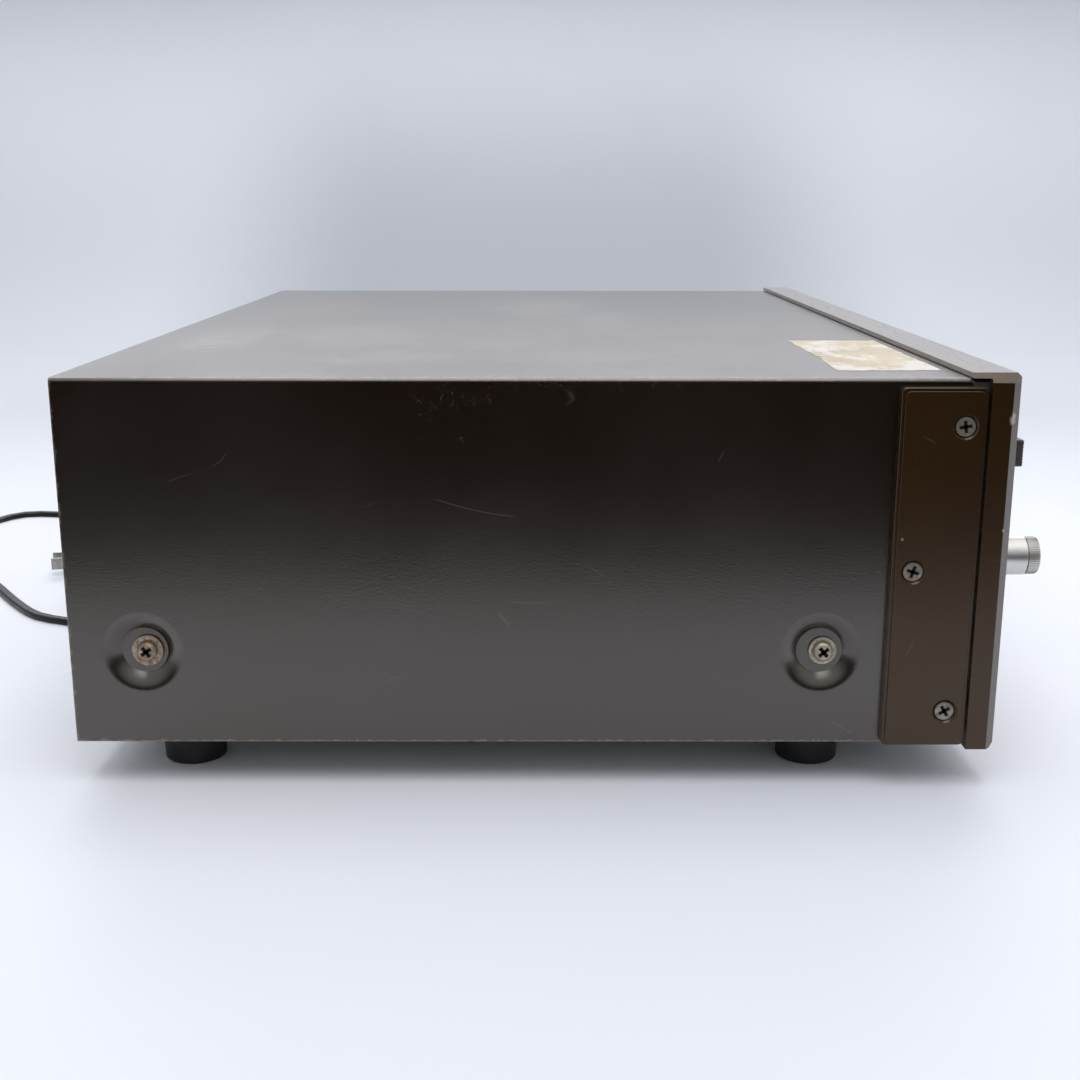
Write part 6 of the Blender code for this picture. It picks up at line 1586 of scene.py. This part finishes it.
# %% Line sockets
jack_low, jack_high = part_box("jack_block")
jack_middle = (jack_low + jack_high) / 2
jack_pitch = 0.0180
sleeve_radius = 0.0041
sleeve_wall = 0.0007
plate_top = depth(rear_face + 0.0019)
base = soften(plate("jack_plate", "y", depth(rear_face + 0.0003), plate_top,
                    [rectangle(jack_low.x, jack_low.z, jack_high.x, jack_high.z, 0.0020)]), 0.0004, 2)
body = block("jack_body", (jack_low.x + 0.0030, jack_low.y, jack_low.z + 0.0030),
             (jack_high.x - 0.0030, depth(rear_face + 0.0004), jack_high.z - 0.0030))
ivory, g, shader = new_material("ivory_insulator", 0.0, 0.5)
worn = g.group(grain, Place=g.place(), Scale=900.0, Drift=150.0)
g.feed(shader["Base Color"], g.mix(worn["Drift"], (0.62, 0.60, 0.54), (0.72, 0.70, 0.64)))
g.feed(shader["Roughness"], g.ramp(worn["Grain"], 0.0, 1.0, 0.35, 0.48))
sleeves, insulators, finishes = [], [], []
for number in range(4):
    place = (jack_middle.x + (number % 2 - 0.5) * jack_pitch, depth(rear_face), jack_middle.z + (number // 2 - 0.5) * jack_pitch)
    inner = sleeve_radius - sleeve_wall
    ring = [(inner, 0.0096), (inner + 0.0002, 0.0100), (sleeve_radius - 0.0003, 0.0100), (sleeve_radius, 0.0097),
            (sleeve_radius, 0.0012), (inner, 0.0012), (inner, 0.0096)]
    sleeves.append(lathe(f"sleeve_{number}", ring, place, REAR, 48))
    filling = [(0.0016, 0.0084), (0.0019, 0.0087), (inner + 0.0001, 0.0087), (inner + 0.0001, 0.0012), (0.0016, 0.0012),
               (0.0016, 0.0084)]
    insulators.append(lathe(f"insulator_{number}", filling, place, REAR, 40))
    finishes.append(ivory if number // 2 else red_ink)
keep("line_sockets", [base, body, *sleeves, *insulators], [black, black] + [nickel] * 4 + finishes, "chassis",
     ("jack_block",))

# %% [markdown]
# The pieces inside keep their CAD shapes, because only their colour and surface were missing.
# Each gets a finish of its kind: passivated zinc for the pressed plates, brown laminate for
# the board, varnished core for the transformer, and so on.

# %% Finishes for the inner pieces
def plain_finish(name, low, high, metallic, rough_low, rough_high, scale, drift, bumpy, specular=0.5):
    made, g, shader = new_material(name, metallic, specular)
    worn = g.group(grain, Place=g.place(), Scale=scale, Drift=drift)
    g.feed(shader["Base Color"], g.mix(worn["Drift"], low, high))
    g.feed(shader["Roughness"], g.ramp(worn["Grain"], 0.0, 1.0, rough_low, rough_high))
    g.feed(shader["Normal"], g.bump(worn["Grain"], bumpy, 0.0001))
    return made


zinc = plain_finish("zinc_plate", (0.42, 0.41, 0.36), (0.56, 0.54, 0.47), 1.0, 0.34, 0.48, 260.0, 45.0, 0.15)
laminate = plain_finish("board_laminate", (0.085, 0.050, 0.022), (0.125, 0.078, 0.036), 0.0, 0.42, 0.60, 900.0, 70.0, 0.3)
core = plain_finish("varnished_core", (0.055, 0.048, 0.044), (0.110, 0.092, 0.080), 0.4, 0.38, 0.55, 1400.0, 90.0, 0.3)
belt = plain_finish("belt_rubber", (0.014, 0.014, 0.014), (0.026, 0.025, 0.025), 0.0, 0.60, 0.78, 800.0, 90.0, 0.3)
bright_brass = plain_finish("turned_brass", (0.58, 0.42, 0.19), (0.70, 0.53, 0.27), 1.0, 0.20, 0.32, 1100.0, 120.0, 0.1)
steel = plain_finish("bright_steel", (0.44, 0.43, 0.41), (0.60, 0.59, 0.57), 1.0, 0.24, 0.36, 1000.0, 150.0, 0.1)
hub_plastic = plain_finish("hub_plastic", (0.045, 0.044, 0.042), (0.070, 0.068, 0.065), 0.0, 0.40, 0.52, 1200.0, 100.0, 0.2)
needle_paint = plain_finish("needle_paint", (0.52, 0.060, 0.030), (0.62, 0.090, 0.050), 0.0, 0.38, 0.50, 900.0, 200.0, 0.1)


def pane(name, tint, rough_low, rough_high):
    made, g, shader = new_material(name, 0.0, 0.5, transmission=1.0)
    worn = g.group(grain, Place=g.place(), Scale=120.0, Drift=25.0)
    hairs = g.group(scratches, Place=g.place(), Scale=60.0, Width=0.002, Amount=0.35)["Scratches"]
    g.feed(shader["Base Color"], g.mix(worn["Drift"], tint, tuple(v * 0.94 for v in tint)))
    g.feed(shader["Roughness"], g.math("ADD", g.ramp(worn["Drift"], 0.0, 1.0, rough_low, rough_high),
                                       g.math("MULTIPLY", hairs, 0.12)))
    return made


smoked = pane("smoked_acrylic", (0.46, 0.43, 0.40), 0.004, 0.012)
clear = pane("clear_acrylic", (0.92, 0.92, 0.91), 0.004, 0.010)
inner_finishes = {
    zinc: ("front_frame", "bottom_plate", "transport_frame", "cassette_holder", "head_block"),
    cover_paint: ("rear_panel",),
    laminate: ("main_board",),
    core: ("power_transformer",),
    belt: ("drive_belt", "pinch_roller"),
    bright_brass: ("motor_pulley",),
    steel: ("capstan_flywheel", "motor", "tape_switch"),
    hub_plastic: ("supply_hub", "takeup_hub"),
    needle_paint: ("needle_left", "needle_right"),
    black: ("meter_case", "counter_reset"),
    smoked: ("door_window",),
    clear: ("display_window",),
}
for finish, names in inner_finishes.items():
    for name in names:
        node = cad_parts[name].data
        node.materials.clear()
        node.materials.append(finish)
left_over = [name for name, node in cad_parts.items()
             if not node.hide_render and not any(name in names for names in inner_finishes.values())]
print("nodes without a finish", left_over)
